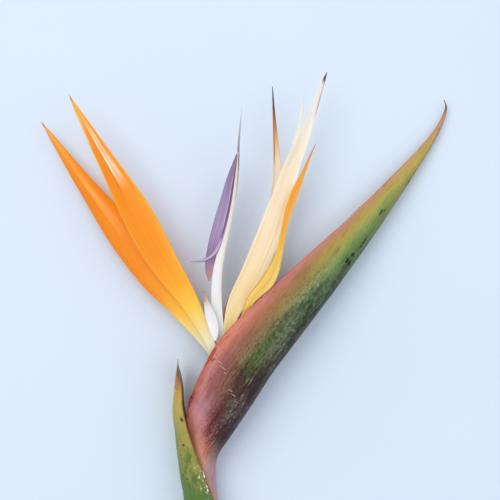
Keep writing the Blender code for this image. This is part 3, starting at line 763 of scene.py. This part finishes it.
def spatheSkin(look):
    # The bract is a tough leaf with a thick waxy cuticle: satin, marbled from dark green to maroon, with a
    # thin whitish bloom that rubs off in specks, a few corky scars and fine scratches; the whitish haze over
    # the flank is partly that bloom and partly a painted sheen.
    material, tree, shader, marks = startSkin("spatheWaxySkin", {
        "IOR": 1.45, "Subsurface Weight": 0.06, "Subsurface Radius": (0.8, 0.3, 0.15),
        "Subsurface Scale": 1.0 * mm, "Coat Weight": 0.04, "Coat Roughness": 0.3, "Specular IOR Level": 0.28,
    })
    veins = streaks(tree, marks, 30, 0.8, 3)
    marble = streaks(tree, marks, 16, 4.5, 4, 3.0)
    grain = streaks(tree, marks, 2.2, 1.1, 4, 8.0)
    dust = streaks(tree, marks, 1.3, 0.9, 5, 15.0)
    scratch = streaks(tree, marks, 9, 0.5, 4, 21.0)
    place = addNode(tree, "Math", {"operation": "MULTIPLY"}, {0: marks["along"], 1: beakEnd})
    place = wobble(tree, place, marble, 0.9)
    across = wobble(tree, wobble(tree, wobble(tree, marks["across"], marble, 0.11), veins, 0.05), grain, 0.05)
    colour, before = None, None
    for station, stops in look["bands"]:
        band = addNode(tree, "ValToRGB", {"stops": stops}, {"Fac": across})
        colour = band if colour is None else layOver(tree, colour, band, (place, before, station))
        before = station
    colour = layOver(
        tree, colour, look["dark"], (marble, 0.54, 0.32, 0.75), (across, 0.66, 0.4), (place, 8.4, 7.6),
        (place, 2.6, 3.6), mode="MULTIPLY")
    colour = layOver(tree, colour, look["dark"], (scratch, 0.46, 0.3, 0.5), mode="MULTIPLY")

    # bloom and painted sheen: a whitish haze that drifts along the flank, dusty where it is thick, and rubbed
    # off in scratches; it is partly the waxy bloom and partly a painted highlight
    drift = within(tree, (across, 0.02, 0.12), (across, 0.66, 0.4), (place, 2.8, 3.8), (place, 9.6, 7.4))
    colour = layUp(
        tree, colour,
        (look["pale"], (veins, 0.56, 0.8, 0.25), (place, 2.5, 3.5)),
        (look["green"], (place, 5.4, 5.9, 0.75), (place, 6.9, 6.3), (across, 0.22, 0.34),
         (across, 0.52, 0.42)),
        (look["hazeAndSheen"], drift, (marble, 0.46, 0.7, 0.2)),
    )
    colour = layOver(
        tree, colour, look["dark"], (dust, 0.5, 0.34, 0.75), (across, 0.8, 0.5), (place, 8.6, 7.8),
        (place, 2.6, 3.6), mode="MULTIPLY")
    colour = layUp(
        tree, colour,
        (look["mottle"], drift, (grain, 0.52, 0.7, 0.35), (place, 5.2, 6.4)),
        (look["bloomAndSheen"], drift, (dust, 0.57, 0.7, 0.5), (marble, 0.44, 0.6)),
        (look["bloomAndSheen"], (scratch, 0.62, 0.7, 0.6), (place, 2.8, 3.4), (place, 7.4, 5.6)),
    )
    for smudgeColour, smudges in look["smudges"]:
        colour = smudge(tree, marks, colour, dust, beakEnd, smudgeColour, smudges)

    # small brown flecks all over
    dots = addNode(tree, "TexVoronoi", (), {"Vector": flattened(tree, marks, 2.7, 1.9), "Scale": 1.0})
    chosen = addNode(tree, "SeparateColor", (), {0: dots.outputs["Color"]})
    fleck = within(
        tree, (dots.outputs["Distance"], 0.16, 0.06), (chosen.outputs[1], 0.6, 0.64, 0.7), (place, 3.4, 4.2))
    inner = addNode(tree, "ValToRGB", {"stops": look["inside"]}, {"Fac": across})
    colour = layUp(
        tree, colour, (look["fleck"], fleck), (inner, marks["underside"]), (look["tip"], (place, 11.5, 12.5)))
    height = layOver(tree, layOver(tree, veins, grain, 0.45), "#000000", fleck)
    finishSkin(tree, shader, colour, (grain, 0.4, 0.62), height, 0.26)
    return material


spatheLook = {
    # colours from the keel (0) to the slit (1) at each station; the dark keel ends are partly the bract's own
    # colour and partly painted shade
    "bands": [
        (1.5, {0.0: "#B69492", 0.3: "#B88C80", 0.6: "#BC8A7A", 1.0: "#B07A66"}),
        (2.4, {0.0: "#A88688", 0.2: "#B48E8C", 0.45: "#D09A8A", 0.7: "#E2A284", 1.0: "#D4845C"}),
        (3.1, {0.0: "#6E4C52", 0.16: "#96706E", 0.32: "#A85E4C", 0.5: "#D68A6C", 0.72: "#EAA48C",
               0.93: "#E8927C", 1.0: "#B8523F"}),
        (3.8, {0.0: "#3A1E22", 0.22: "#4C282A", 0.4: "#84403C", 0.54: "#C07674", 0.7: "#DA9A9A",
               0.85: "#E0969A", 0.94: "#D47E78", 1.0: "#9A322E"}),
        (4.4, {0.0: "#301A1A", 0.22: "#3C2020", 0.42: "#62302E", 0.56: "#8A4848", 0.68: "#BA868C",
               0.82: "#C68E96", 0.93: "#C87876", 1.0: "#942E2E"}),
        (5.1, {0.0: "#3A2422", 0.28: "#422618", 0.45: "#5E3C2A", 0.6: "#885044", 0.78: "#9C5A58",
               0.9: "#C8807A", 1.0: "#B86450"}),
        (6.2, {0.0: "#3E3026", 0.2: "#424024", 0.4: "#525A28", 0.54: "#80683C", 0.7: "#935E44",
               0.82: "#BA6A56", 0.93: "#D8806A", 1.0: "#CC704E"}),
        (7.6, {0.0: "#26301E", 0.15: "#3C5434", 0.32: "#527044", 0.44: "#748250", 0.57: "#8A8248",
               0.74: "#A07848", 0.88: "#B6745A", 1.0: "#C67A74"}),
        (8.5, {0.0: "#4C5A3C", 0.15: "#54703E", 0.36: "#6C8A46", 0.52: "#90984C", 0.7: "#AE9A48",
               0.88: "#BA8660", 1.0: "#C47E74"}),
        (9.2, {0.0: "#6C7448", 0.15: "#70844A", 0.42: "#88984C", 0.6: "#ACA44C", 0.78: "#B8984E",
               0.9: "#C08E68", 1.0: "#C4826E"}),
        (10.2, {0.0: "#A48C54", 0.12: "#B49C4C", 0.45: "#BCA84E", 0.72: "#BE9E54", 0.9: "#C8A06A",
                1.0: "#BE8660"}),
        (11.6, {0.0: "#B67E56", 0.4: "#C8946C", 1.0: "#C08870"}),
    ],
    # the haze and bloom colours are partly the waxy bloom and partly a painted sheen
    "dark": "#7A6A62", "pale": "#D8A488", "hazeAndSheen": "#A09A92", "bloomAndSheen": "#C8C8C4",
    "mottle": "#9FA58E", "fleck": "#54402E", "green": "#526428", "tip": "#5C3828",
    "inside": {0.0: "#D8C88E", 0.6: "#D9B98A", 0.9: "#CF8E72", 1.0: "#B85C4C"},
    "smudges": [
        ("#171A15", [  # corky scars near the keel
            (8.42, 7.2, 0.05, 0.9), (8.4, 5.6, 0.05, 0.9), (8.53, 6.5, 0.03, 1.0), (8.76, 5.4, 0.09, 0.4),
            (9.25, 5.9, 0.06, 0.4), (9.3, 5.0, 0.03, 0.4), (7.45, 5.2, 0.09, 1.0), (7.36, 3.6, 0.07, 0.7),
            (9.8, 1.6, 0.05, 0.35), (6.5, 2.6, 0.06, 0.6),
        ]),
        ("#DDB9A0", [  # pale scratches across the flank
            (5.5, 26.6, 0.007, 1.3), (5.44, 24.2, 0.006, 1.5), (5.37, 22.2, 0.005, 0.8),
            (5.1, 16.4, 0.006, 1.2), (5.04, 14.2, 0.006, 1.3), (4.94, 12.0, 0.005, 0.9),
        ]),
        ("#A8481E", [(5.45, 31.0, 0.1, 1.8), (5.3, 31.6, 0.12, 1.0), (5.62, 31.4, 0.12, 0.9)]),  # torn edge
    ],
}
spathePiece = grow("spatheSkinPiece", "spathe", "spathe", spatheSkin(spatheLook), spatheRings())
print("spathe:", len(spathePiece.data.vertices), "points")


# The sheath bract that wraps the stalk

wrap = {
    # centre x, y; half width; half height; half of the angle it wraps, from its foot to its point
    "stations": [
        (-14.6, -151, 7.1, 7.3, 176), (-15.8, -140, 7.6, 7.5, 176), (-17.5, -122, 7.6, 7.5, 172),
        (-19.15, -100, 7.6, 7.6, 134), (-20.1, -92, 7.9, 7.8, 115), (-20.7, -84, 8.4, 8.2, 97),
        (-22.6, -75, 7.5, 8.2, 85), (-24.2, -64.4, 7.1, 8.0, 73), (-23.3, -54.6, 7.2, 7.8, 57),
        (-22.7, -49, 7.1, 7.7, 38), (-22.1, -43.8, 7.0, 7.6, 4),
    ],
    "rest": 0.02, "wall": 1.0, "grid": (260, 71), "widest": 176,
    "ribHeight": 0.06, "dentDepth": 0.2, "fray": 0.012,
    "lowest": 0.06,  # it lies on the floor
}
wrapEnd = len(wrap["stations"]) - 1


def sheathRings():
    rows, columns = wrap["grid"]
    place = np.linspace(0, wrapEnd, rows)[:, None]
    x, y, wide, high, span = smoothRows(wrap["stations"], place[:, 0]).T[..., None]
    s = np.sin(np.linspace(-1, 1, columns) * math.pi / 2)[None, :]
    run = np.broadcast_to(y - y[0], (rows, columns))
    fray = lumps(asPoints(run, 0, np.sign(s)), 3.0, 5.0)
    torn = wrap["fray"] * easeStep(1.5, 3, place) * (1 + fray) * np.abs(s) ** 6
    reach = np.minimum(span, wrap["widest"]) * (1 - torn)
    angle = np.radians(180 + s * reach)
    ray = asPoints(np.cos(angle), 0, np.sin(angle))
    girth = np.radians(s * reach) * wide
    ribs = wrap["ribHeight"] * lumps(asPoints(run / 14, girth / 1.3), 1.0, 6.0)
    dents = wrap["dentDepth"] * lumps(asPoints(run / 2.2, girth), 5.0, 7.0) * (1 - s**4)
    wall = wrap["wall"] * np.clip(0.5 + 0.3 * place, 0, 1) * (0.16 + 0.84 * np.sqrt(1 - s * s))
    wall = wall * np.minimum(1, 0.25 + 0.5 * (wrapEnd - place))
    centre = asPoints(x, y, wrap["rest"] + high)
    stretch = asPoints(wide, 0, high)
    relief = ((ribs + dents - 0.16) * np.minimum(1, wide / 4))[..., None]
    outer = centre + ray * (stretch + relief)
    inner = centre + ray * (stretch - wall[..., None])
    outer[..., 2] = np.maximum(outer[..., 2], wrap["lowest"])
    return np.concatenate([outer, inner[:, ::-1]], axis=1), sheetMarks(
        (rows, columns), along=place / wrapEnd, across=s, lengthMm=run, acrossMm=girth)


def sheathSkin(look):
    # A leaf sheath past its best: waxy green below, yellowing upwards and dried brown at its point, with a
    # thin red-brown margin, dark spots, and papery white flakes where the margin's skin has peeled.
    material, tree, shader, marks = startSkin("yellowingSheathSkin", {
        "IOR": 1.44, "Subsurface Weight": 0.08, "Subsurface Radius": (0.6, 0.5, 0.15),
        "Subsurface Scale": 1.0 * mm, "Coat Weight": 0.12, "Coat Roughness": 0.35,
    })
    veins = streaks(tree, marks, 24, 0.8, 3)
    blotch = streaks(tree, marks, 9, 4, 4, 2.0)
    grain = streaks(tree, marks, 1.6, 1.2, 3, 6.0)
    stain = streaks(tree, marks, 5, 1.8, 4, 11.0)
    place = wobble(tree, marks["along"], blotch, 0.05)
    colour = addNode(tree, "ValToRGB", {"stops": look["alongIt"]}, {"Fac": place})
    edge = addNode(tree, "Math", {"operation": "ABSOLUTE"}, {0: marks["across"]})
    edge = wobble(tree, edge, grain, 0.03)
    colour = layUp(
        tree, colour,
        (look["yellow"], (marks["across"], -0.1, -0.95, 0.45), (place, 0.3, 0.42), (place, 0.82, 0.72)),
        (look["shade"], (veins, 0.5, 0.25, 0.4)),
        (look["pale"], (veins, 0.56, 0.76, 0.3)),
        (look["green"], (blotch, 0.46, 0.62, 0.9), (place, 0.68, 0.5)),
        (look["green"], (grain, 0.52, 0.66, 0.5), (place, 0.74, 0.56)),
        (look["rust"], (stain, 0.56, 0.7, 0.55), (place, 0.5, 0.8)),
        (look["rust"], (stain, 0.6, 0.74, 0.45), (marks["across"], -0.2, 0.8)),
        (look["rim"], (edge, 0.92, 0.98, 0.85), (place, 0.15, 0.3)),
    )
    dots = addNode(tree, "TexVoronoi", (), {"Vector": flattened(tree, marks, 4.6, 3.6), "Scale": 1.0})
    chosen = addNode(tree, "SeparateColor", (), {0: dots.outputs["Color"]})
    size = wobble(tree, dots.outputs["Distance"], grain, 0.1)
    colour = layOver(tree, colour, look["spot"], (size, 0.2, 0.08), (chosen.outputs[0], 0.55, 0.62, 0.6))
    colour = smudge(tree, marks, colour, grain, wrapEnd, look["spot"], look["spots"])
    # papery flakes where the margin has peeled
    flake = within(
        tree, (grain, 0.57, 0.6), (marks["across"], -0.72, -0.8), (place, 0.3, 0.34),
        (place, 0.5, 0.44, 0.95))
    colour = layUp(
        tree, colour, (look["flake"], flake), (look["inside"], marks["underside"], (place, 1.0, 0.9)))
    height = layOver(tree, layOver(tree, veins, grain, 0.3), "#FFFFFF", flake)
    finishSkin(tree, shader, colour, (grain, 0.4, 0.62), height, 0.2)
    return material


sheathLook = {
    "alongIt": {
        0.0: "#6E7A3A", 0.18: "#5A7A32", 0.32: "#527428", 0.42: "#62782C", 0.52: "#7E8432",
        0.62: "#928C36", 0.7: "#AE9C42", 0.77: "#C2963C", 0.82: "#B4752C", 0.88: "#7E4228",
        1.0: "#3A201E",
    },
    "yellow": "#C6B052", "green": "#4A6F2C", "shade": "#7E7A30", "pale": "#C4BC74", "rust": "#A4662C",
    "rim": "#8E4A2C", "spot": "#45301E",
    "spots": [
        (6.72, -8.0, 0.08, 0.8), (5.75, -7.4, 0.06, 0.7), (4.13, -7.4, 0.05, 0.5), (4.3, -5.0, 0.05, 0.4),
        (5.3, -5.4, 0.04, 0.35), (2.6, -1.4, 0.1, 0.8),
    ],
    "flake": "#EFEBDD", "inside": "#B7A968",
}
sheathPiece = grow("sheathBract", "sheath_bract", "sheath", sheathSkin(sheathLook), sheathRings())
print("sheath:", len(sheathPiece.data.vertices), "points")


# The stalk

stem = {
    "spine": [
        (-9.5, -200, 6.55), (-11.6, -178, 6.9), (-14.7, -150, 7.4), (-16.6, -132, 7.5), (-18.2, -114.3, 7.5),
    ],
    "radius": [(0, 6.5), (0.08, 6.28), (0.5, 6.17), (1, 6.12)],
    "grid": (160, 72),
    "dents": (5.0, 0.14),
    "cutFace": 0.25,
}


def stalkSkin():
    # A smooth, round green flower stalk: waxy skin with fine lengthwise ribs 1 mm apart, pale breathing
    # spots, and a square cut whose pith shows as pale green with the ends of its fibres as dots.
    material, tree, shader, marks = startSkin("waxyStalkSkin", {
        "IOR": 1.44, "Subsurface Weight": 0.06, "Subsurface Radius": (0.5, 0.6, 0.15),
        "Subsurface Scale": 1.0 * mm, "Coat Weight": 0.15, "Coat Roughness": 0.3,
    })
    where = addNode(tree, "TexCoord").outputs["Object"]
    patterns = []
    for perMetre in ((1000, 25, 1000), (110, 40, 110), (700, 500, 700)):
        stretched = addNode(tree, "Mapping", (), {"Vector": where, "Scale": perMetre})
        patterns.append(addNode(tree, "TexNoise", (), {"Vector": stretched, "Scale": 1.0, "Detail": 3.0}))
    ribs, clouds, grain = patterns
    place = wobble(tree, marks["along"], clouds, 0.08)
    colour = addNode(tree, "ValToRGB", {"stops": {
        0.0: "#6F8148", 0.4: "#71873F", 0.75: "#7A7F4A", 0.95: "#94745C"}}, {"Fac": place})
    dots = addNode(tree, "TexVoronoi", (), {"Vector": where, "Scale": 700.0})
    pith = addNode(tree, "ValToRGB", {"stops": {0.3: "#B9C48C", 0.7: "#DDE0BC"}}, {"Fac": clouds})
    pith = layOver(tree, pith, "#8A9A54", (dots.outputs["Distance"], 0.32, 0.16))
    colour = layUp(
        tree, colour,
        ("#4C6A30", (clouds, 0.5, 0.72, 0.6)),
        ("#A3AE72", (ribs, 0.52, 0.72, 0.4)),
        ("#C9CBB4", (grain, 0.6, 0.72, 0.35)),
        (pith, (marks["along"], 0.0012, 0.0004)),  # the cut face alone is at 0
    )
    finishSkin(tree, shader, colour, (grain, 0.4, 0.6), layOver(tree, ribs, grain, 0.3), 0.18)
    return material


grow("stalkPiece", "stalk", "stalk", stalkSkin(), tubeRings(stem))
print("stalk: 1")


# The tongue: two petals held together as an arrow round the style and the stamens

tongueSpine = [
    (-8.3, -46.6, 10.0), (-11.0, -38, 10.2), (-12.8, -29, 10.6), (-13.4, -19, 11.2), (-12.9, -9, 11.8),
    (-10.9, 1.5, 12.4), (-8.3, 12, 13.0), (-6.4, 22, 13.5), (-5.3, 31, 13.9), (-4.8, 39, 14.2),
]
tongueHalfWidth = [
    (0, 1.2), (0.1, 1.9), (0.25, 2.2), (0.4, 1.9), (0.55, 1.46), (0.7, 1.0), (0.85, 0.6), (1, 0.3),
]
channelHalfHeight = 1.3


def besideTongue(right, height, reach=1.0):
    # a line along the tongue's channel, moved right and up, that ends at a share of its length
    places, _ = evenPlaces(tongueSpine, 40)
    line = smoothRows(tongueSpine, places)[: round(40 * reach)] + (right, 0, height)
    return [tuple(point) for point in line[::3]]


def clawShape(height, camber):
    return {
        "spine": besideTongue(0, height), "halfWidth": tongueHalfWidth, "camber": [(0, camber), (1, camber)],
        "fold": [(0, 1.5), (1, 1.5)], "thickness": 0.5, "veins": 3, "seed": 7.0,
        "grid": (160, 19), "dents": 0.04,
    }


nearWing = {
    "spine": [
        (-4.9, 38.2, 15.5), (-6.2, 30, 15.2), (-7.5, 20.5, 14.8), (-9.2, 12, 14.4), (-11.4, 4, 14.0),
        (-14.3, -1.6, 14.0), (-18.6, -4.2, 14.6), (-23.5, -4.7, 15.6),
    ],
    "halfWidth": [(0, 0.2), (0.2, 0.55), (0.4, 0.85), (0.6, 1.0), (0.75, 0.85), (0.88, 0.6), (1, 0.12)],
    "camber": [(0, -0.1), (0.5, -0.35), (1, -0.35)],
    "thickness": 0.45, "veins": 2, "seed": 8.0, "grid": (150, 17), "dents": 0.04,
}
farWing = {
    "spine": [
        (-5.2, 38.2, 12.8), (-7.4, 29, 12.5), (-9.6, 19.2, 12.0), (-12.2, 9.4, 11.5), (-14.6, 0.5, 11.0),
        (-16.2, -6, 10.7), (-16.3, -12.2, 10.5),
    ],
    "halfWidth": [
        (0, 0.25), (0.18, 1.65), (0.4, 2.5), (0.58, 2.75), (0.75, 2.45), (0.88, 1.75), (0.96, 1.1), (1, 0.35),
    ],
    "camber": [(0, 0), (0.5, 0.16), (0.85, 0.3), (1, 0.3)],
    "thickness": 0.45, "veins": 6, "veinHeight": 0.05, "seed": 9.0, "grid": (170, 33), "dents": 0.1,
    "marginWave": (7, 0.2),
}


def petalSkin(look):
    # The tongue's wings are thin satin petals, mauve with deeper veins, and its claws are thick ivory straps.
    material, tree, shader, marks = startSkin(look["name"], {
        "IOR": 1.4, "Subsurface Weight": 0.15, "Subsurface Radius": (0.6, 0.45, 0.5),
        "Subsurface Scale": 0.8 * mm, "Sheen Weight": 0.15, "Sheen Roughness": 0.5,
    })
    fine = streaks(tree, marks, 12, 0.45, 3)
    broad = streaks(tree, marks, 22, 1.6, 2, 4.0)
    place = wobble(tree, marks["along"], broad, 0.05)
    wing = addNode(tree, "ValToRGB", {"stops": look["wing"]}, {"Fac": place})
    wing = layUp(
        tree, wing,
        (look["wingDark"], (fine, 0.52, 0.3, 0.4)),
        (look["wingLight"], (broad, 0.5, 0.75, 0.5)),
        (look["wingDark"], (marks["across"], *look["darkSide"])),
    )
    wing = drawLines(tree, marks, wing, look["lines"])
    claw = addNode(tree, "ValToRGB", {"stops": look["claw"]}, {"Fac": place})
    isWing = addNode(tree, "Attribute", {"attribute_name": "wing"}).outputs["Fac"]
    colour = layUp(
        tree, claw,
        (look["clawWarm"], (marks["across"], 0.1, 0.9, 0.5), (place, 0.15, 0.5)),
        (look["clawShade"], (fine, 0.5, 0.28, 0.35)),
        (wing, isWing),
    )
    finishSkin(tree, shader, colour, (broad, 0.42, 0.6), fine, 0.06)
    return material


petalColours = {
    "wing": {
        0.0: "#866A90", 0.1: "#9C80A8", 0.35: "#AE97BC", 0.6: "#B8A4C4", 0.8: "#AC90B2",
        0.9: "#B58EA8", 0.96: "#BF9583", 1.0: "#C39A80",
    },
    "wingDark": "#8E6E9E", "wingLight": "#C6B4D8",
    "claw": {
        0.0: "#F1EAD6", 0.2: "#F2F0EC", 0.4: "#F1EFEE", 0.55: "#EFEAE2", 0.75: "#EDE2D0",
        0.9: "#E6D6C6", 1.0: "#BEA8B8",
    },
    "clawWarm": "#E8D4AC", "clawShade": "#DCD3C6",
}
nearPetal = petalSkin({
    **petalColours, "name": "nearMauvePetal", "darkSide": (-0.5, -1.2, 0.6),
    "wing": {
        0.0: "#6E4A78", 0.3: "#865C90", 0.5: "#8E6A9A", 0.62: "#A988B4", 0.75: "#C3ACCC",
        0.9: "#BDA6C6", 1.0: "#9A8098",
    },
    "lines": [
        (0.9, 0.3, (-0.1, 0.62), "#D9CBE2", 0.85), (0.25, 0.45, (-0.1, 0.7), "#653A6C", 0.85),
        (-0.85, 0.35, (0.62, 1.1), "#6B4474", 0.85), (0.9, 0.25, (0.66, 1.1), "#7A5584", 0.6),
    ],
})
farPetal = petalSkin({
    **petalColours, "name": "farMauvePetal", "darkSide": (0.2, 1.0, 0.45),
    "lines": [(0.1, 0.1, (0.1, 0.85), "#9474AC", 0.5), (-0.45, 0.1, (0.1, 0.8), "#9878B0", 0.4)],
})


def withWing(shape, wing):
    rings, marks = leafRings(shape)
    return rings, {**marks, "wing": wing}


for name, node, claw, wing, material in (
    ("nearTonguePetal", "tongue_petal_near", clawShape(channelHalfHeight, -0.06), nearWing, nearPetal),
    ("farTonguePetal", "tongue_petal_far", clawShape(-channelHalfHeight, 0.06), farWing, farPetal),
):
    grow(name, node, "purple_petal", material, withWing(claw, 0.0), withWing(wing, 1.0))

whitePetal = sepalSkin("whiteNectaryPetalSkin", {
    "alongIt": {
        0.0: "#F3EEDE", 0.3: "#F4F2EE", 0.6: "#EEECEE", 0.72: "#E8DDD6", 0.82: "#CE9C6C",
        1.0: "#94602E",
    },
    "shade": "#DDD4D2", "light": "#FAF8F6", "vein": "#DAD0C8", "margin": "#D9BFA6", "back": "#EDE4DC",
    "tip": "#8A5A3C", "tipFrom": (0.95, 1.0), "fineStreaks": 0.35, "flesh": 0.12, "roughness": (0.5, 0.65),
    "relief": 0.05,
})
nectaryPetal = {
    "spine": [
        (-13.8, -36.0, 14.6), (-14.1, -32.8, 14.4), (-14.9, -29, 14.4), (-16.1, -24.8, 14.8),
        (-17.2, -20.8, 15.2), (-18.3, -16.4, 15.6),
    ],
    "halfWidth": [
        (0, 0.3), (0.12, 1.4), (0.3, 2.0), (0.48, 2.1), (0.62, 1.7), (0.76, 1.1), (0.88, 0.6), (1, 0.2),
    ],
    "camber": [(0, 0.1), (0.6, 0.25), (0.85, 0.6), (1, 0.9)],
    "fold": [(0, 2), (0.6, 1.4), (1, 1.3)],
    "thickness": 0.4, "veins": 4, "veinHeight": 0.04, "seed": 10.0, "grid": (90, 25), "marginWave": (4, 0.25),
}
grow("nectaryPetalPiece", "nectary_petal", "white_petal", whitePetal, leafRings(nectaryPetal))


def softSkin(name, look):
    # Small fleshy organs: a thin moist skin over pale tissue, even in colour with faint mottling and streaks.
    material, tree, shader, marks = startSkin(name, {
        "IOR": 1.4, "Subsurface Weight": 0.12, "Subsurface Radius": (0.6, 0.5, 0.3),
        "Subsurface Scale": 0.8 * mm, "Coat Weight": look["gloss"], "Coat Roughness": 0.3,
    })
    fine = streaks(tree, marks, 6, 0.5, 3)
    broad = streaks(tree, marks, 9, 3, 3, 4.0)
    place = wobble(tree, marks["along"], broad, 0.04)
    colour = addNode(tree, "ValToRGB", {"stops": look["alongIt"]}, {"Fac": place})
    colour = layUp(
        tree, colour, (look["shade"], (fine, 0.5, 0.3, 0.5)), (look["light"], (broad, 0.5, 0.75, 0.4)))
    finishSkin(tree, shader, colour, (broad, *look["roughness"]), fine, 0.08)
    return material


# The style ends in the long thin stigma; the stamens lie beside it in the channel
styleTissue = softSkin("stickyStyleSkin", {
    "alongIt": {
        0.0: "#EDE6D8", 0.7: "#D8CBD6", 0.78: "#82707E", 0.83: "#8F8890", 0.9: "#B2B0BA",
        1.0: "#C6CCDA",
    },
    "shade": "#857888", "light": "#DAD8E2", "gloss": 0.2, "roughness": (0.4, 0.6),
})
styleShape = {
    "spine": besideTongue(0.75, 0, 0.86) + [(-4.6, 40.5, 14.2), (-4.1, 47, 14.5), (-3.2, 56.5, 14.9)],
    "radius": [(0, 0.42), (0.75, 0.42), (0.79, 0.6), (0.84, 0.52), (0.92, 0.36), (1, 0.12)],
    "grid": (240, 16), "lobes": (3, 0.25), "twist": 9, "dents": (1.2, 0.04),
}
grow("stylePiece", "style", "style", styleTissue, tubeRings(styleShape))

pollenSac = softSkin("dustyStamenSkin", {
    "alongIt": {0.0: "#EDE7D2", 0.35: "#E6DDBE", 0.5: "#DCCD9C", 1.0: "#D6C48C"},
    "shade": "#BBA970", "light": "#F4EFD8", "gloss": 0.0, "roughness": (0.65, 0.85),
})
stamens = [  # right, up and reach along the channel
    (-0.1, 0.5, 0.78), (-0.1, -0.5, 0.76), (-0.92, 0.45, 0.65), (-0.92, -0.45, 0.62), (-1.65, 0, 0.45),
]
for number, (right, height, reach) in enumerate(stamens, 1):
    grow(f"stamen{number}", f"stamen_{number}", "stamen", pollenSac, tubeRings({
        "spine": besideTongue(right, height, reach),
        "radius": [(0, 0.2), (0.4, 0.2), (0.5, 0.24), (0.95, 0.22), (1, 0.12)],
        "grid": (120, 12), "lobes": (2, 0.3),
    }))
print("tongue: 2 petals, nectary petal, style, 5 stamens")


# Hidden in the boat: the ovaries that the florets stand on, and two buds

ovaryTissue = softSkin("moistOvarySkin", {
    "alongIt": {0.0: "#E9E0B4", 0.3: "#C9CC8E", 0.7: "#B5BC7C", 1.0: "#A9AE72"},
    "shade": "#98A062", "light": "#E2E2BC", "gloss": 0.2, "roughness": (0.35, 0.5),
})
budTissue = softSkin("foldedBudSkin", {
    "alongIt": {0.0: "#D8D6A0", 0.3: "#E9D48A", 0.7: "#F0B654", 1.0: "#E08E38"},
    "shade": "#C99A48", "light": "#F6E2A6", "gloss": 0.15, "roughness": (0.38, 0.52),
})
organBasics = {"dents": (1.5, 0.05), "lobes": (3, 0.3)}
freshOvary = {
    "spine": [(-10.3, -50.2, 10.0), (-12.2, -55, 10.0), (-14.6, -62, 9.8), (-17.4, -69.5, 9.2)],
    "radius": [(0, 2.4), (0.12, 2.85), (0.5, 2.65), (0.72, 1.5), (1, 1.2)], "grid": (70, 48),
    "lobes": (3, 0.18),
}
oldOvary = {
    "spine": [(-2.6, -42.2, 9.9), (-3.8, -48.5, 10.0), (-6.6, -56, 9.9), (-13.6, -68, 9.2)],
    "radius": [(0, 2.2), (0.12, 2.65), (0.42, 2.45), (0.62, 1.4), (1, 1.1)], "grid": (80, 48),
    "lobes": (3, 0.2), "dents": (1.5, 0.06),
}
firstBud = {
    "spine": [(1.6, -49, 9.8), (8.6, -38.6, 9.8), (17.2, -27.4, 9.4), (24, -18.5, 8.7)],
    "radius": [(0, 0.9), (0.25, 2.1), (0.6, 2.0), (1, 0.2)], "grid": (110, 48), "twist": 2.0,
}
secondBud = {
    "spine": [(-9.6, -70.2, 9.3), (-4.8, -62.4, 9.7), (-0.6, -54.5, 9.9)],
    "radius": [(0, 0.8), (0.35, 1.7), (0.7, 1.5), (1, 0.2)], "grid": (80, 40), "twist": 2.0,
}
for name, node, slotName, tissue, shape in (
    ("freshOvary", "ovary", "ovary", ovaryTissue, freshOvary),
    ("oldOvary", "old_ovary", "ovary", ovaryTissue, oldOvary),
    ("firstBud", "bud_1", "bud", budTissue, firstBud),
    ("secondBud", "bud_2", "bud", budTissue, secondBud),
):
    grow(name, node, slotName, tissue, tubeRings({**organBasics, **shape}))
print("ovaries: 2, buds: 2")


# Floor, light and camera

studio = {
    "floorColour": "#DFE9F6", "floorSize": 6.0,
    "floorHeight": -0.0001,  # just under the part, so that the two don't flicker
    "viewWidth": 0.200, "viewHeight": 0.010, "lens": 100, "sensor": 36,
    "keyPower": 8.0, "fillPower": 3.6, "world": 0.7,
}


def floorPaint():
    # A pale painted board, matt and plain: cool white with very faint unevenness from the roller.
    material = bpy.data.materials.new("paleMattPaint")
    material.use_nodes = True
    tree = material.node_tree
    shader = tree.nodes["Principled BSDF"]
    shader.inputs["Roughness"].default_value = 0.8
    shader.inputs["Specular IOR Level"].default_value = 0.2
    where = addNode(tree, "TexCoord").outputs["Object"]
    roller = addNode(tree, "TexNoise", (), {"Vector": where, "Scale": 9.0, "Detail": 4.0})
    stops = {0.3: "#DCE7F4", 0.7: studio["floorColour"]}
    colour = addNode(tree, "ValToRGB", {"stops": stops}, {"Fac": roller})
    tree.links.new(colour.outputs[0], shader.inputs["Base Color"])
    return material


floorMesh = bpy.data.meshes.new("floor")
floorEdge = studio["floorSize"] / 2
floorMesh.from_pydata([
    (x * floorEdge, y * floorEdge, studio["floorHeight"]) for x, y in ((-1, -1), (1, -1), (1, 1), (-1, 1))
], [], [(0, 1, 2, 3)])
floor = addObject("floor", floorMesh)
floorMesh.materials.append(floorPaint())

viewCentre = Vector((layoutOrigin[0], layoutOrigin[1], studio["viewHeight"]))
distance = studio["viewWidth"] * studio["lens"] / studio["sensor"]
cameraData = bpy.data.cameras.new("camera")
cameraData.lens, cameraData.sensor_width = studio["lens"], studio["sensor"]
camera = addObject("camera", cameraData)
camera.location = viewCentre + Vector((0, 0, distance))
bpy.context.scene.camera = camera


def softbox(name, place, size, power, colour):
    data = bpy.data.lights.new(name, "AREA")
    data.shape, data.size, data.energy = "DISK", size, power
    data.color = linear(colour)[:3]
    lamp = addObject(name, data)
    lamp.location = viewCentre + Vector(place)
    lamp.rotation_euler = (-Vector(place)).to_track_quat("-Z", "Y").to_euler()


softbox("key", (-0.55, 0.5, 1.1), 1.1, studio["keyPower"], "#FFFDFA")
softbox("fill", (0.9, -0.3, 1.0), 1.4, studio["fillPower"], "#F4F8FF")
world = bpy.data.worlds.new("paleRoom")
world.use_nodes = True
world.node_tree.nodes["Background"].inputs["Color"].default_value = linear("#EDF3FC")
world.node_tree.nodes["Background"].inputs["Strength"].default_value = studio["world"]
bpy.context.scene.world = world
bpy.context.scene.view_settings.view_transform = "Standard"
print("studio ready")
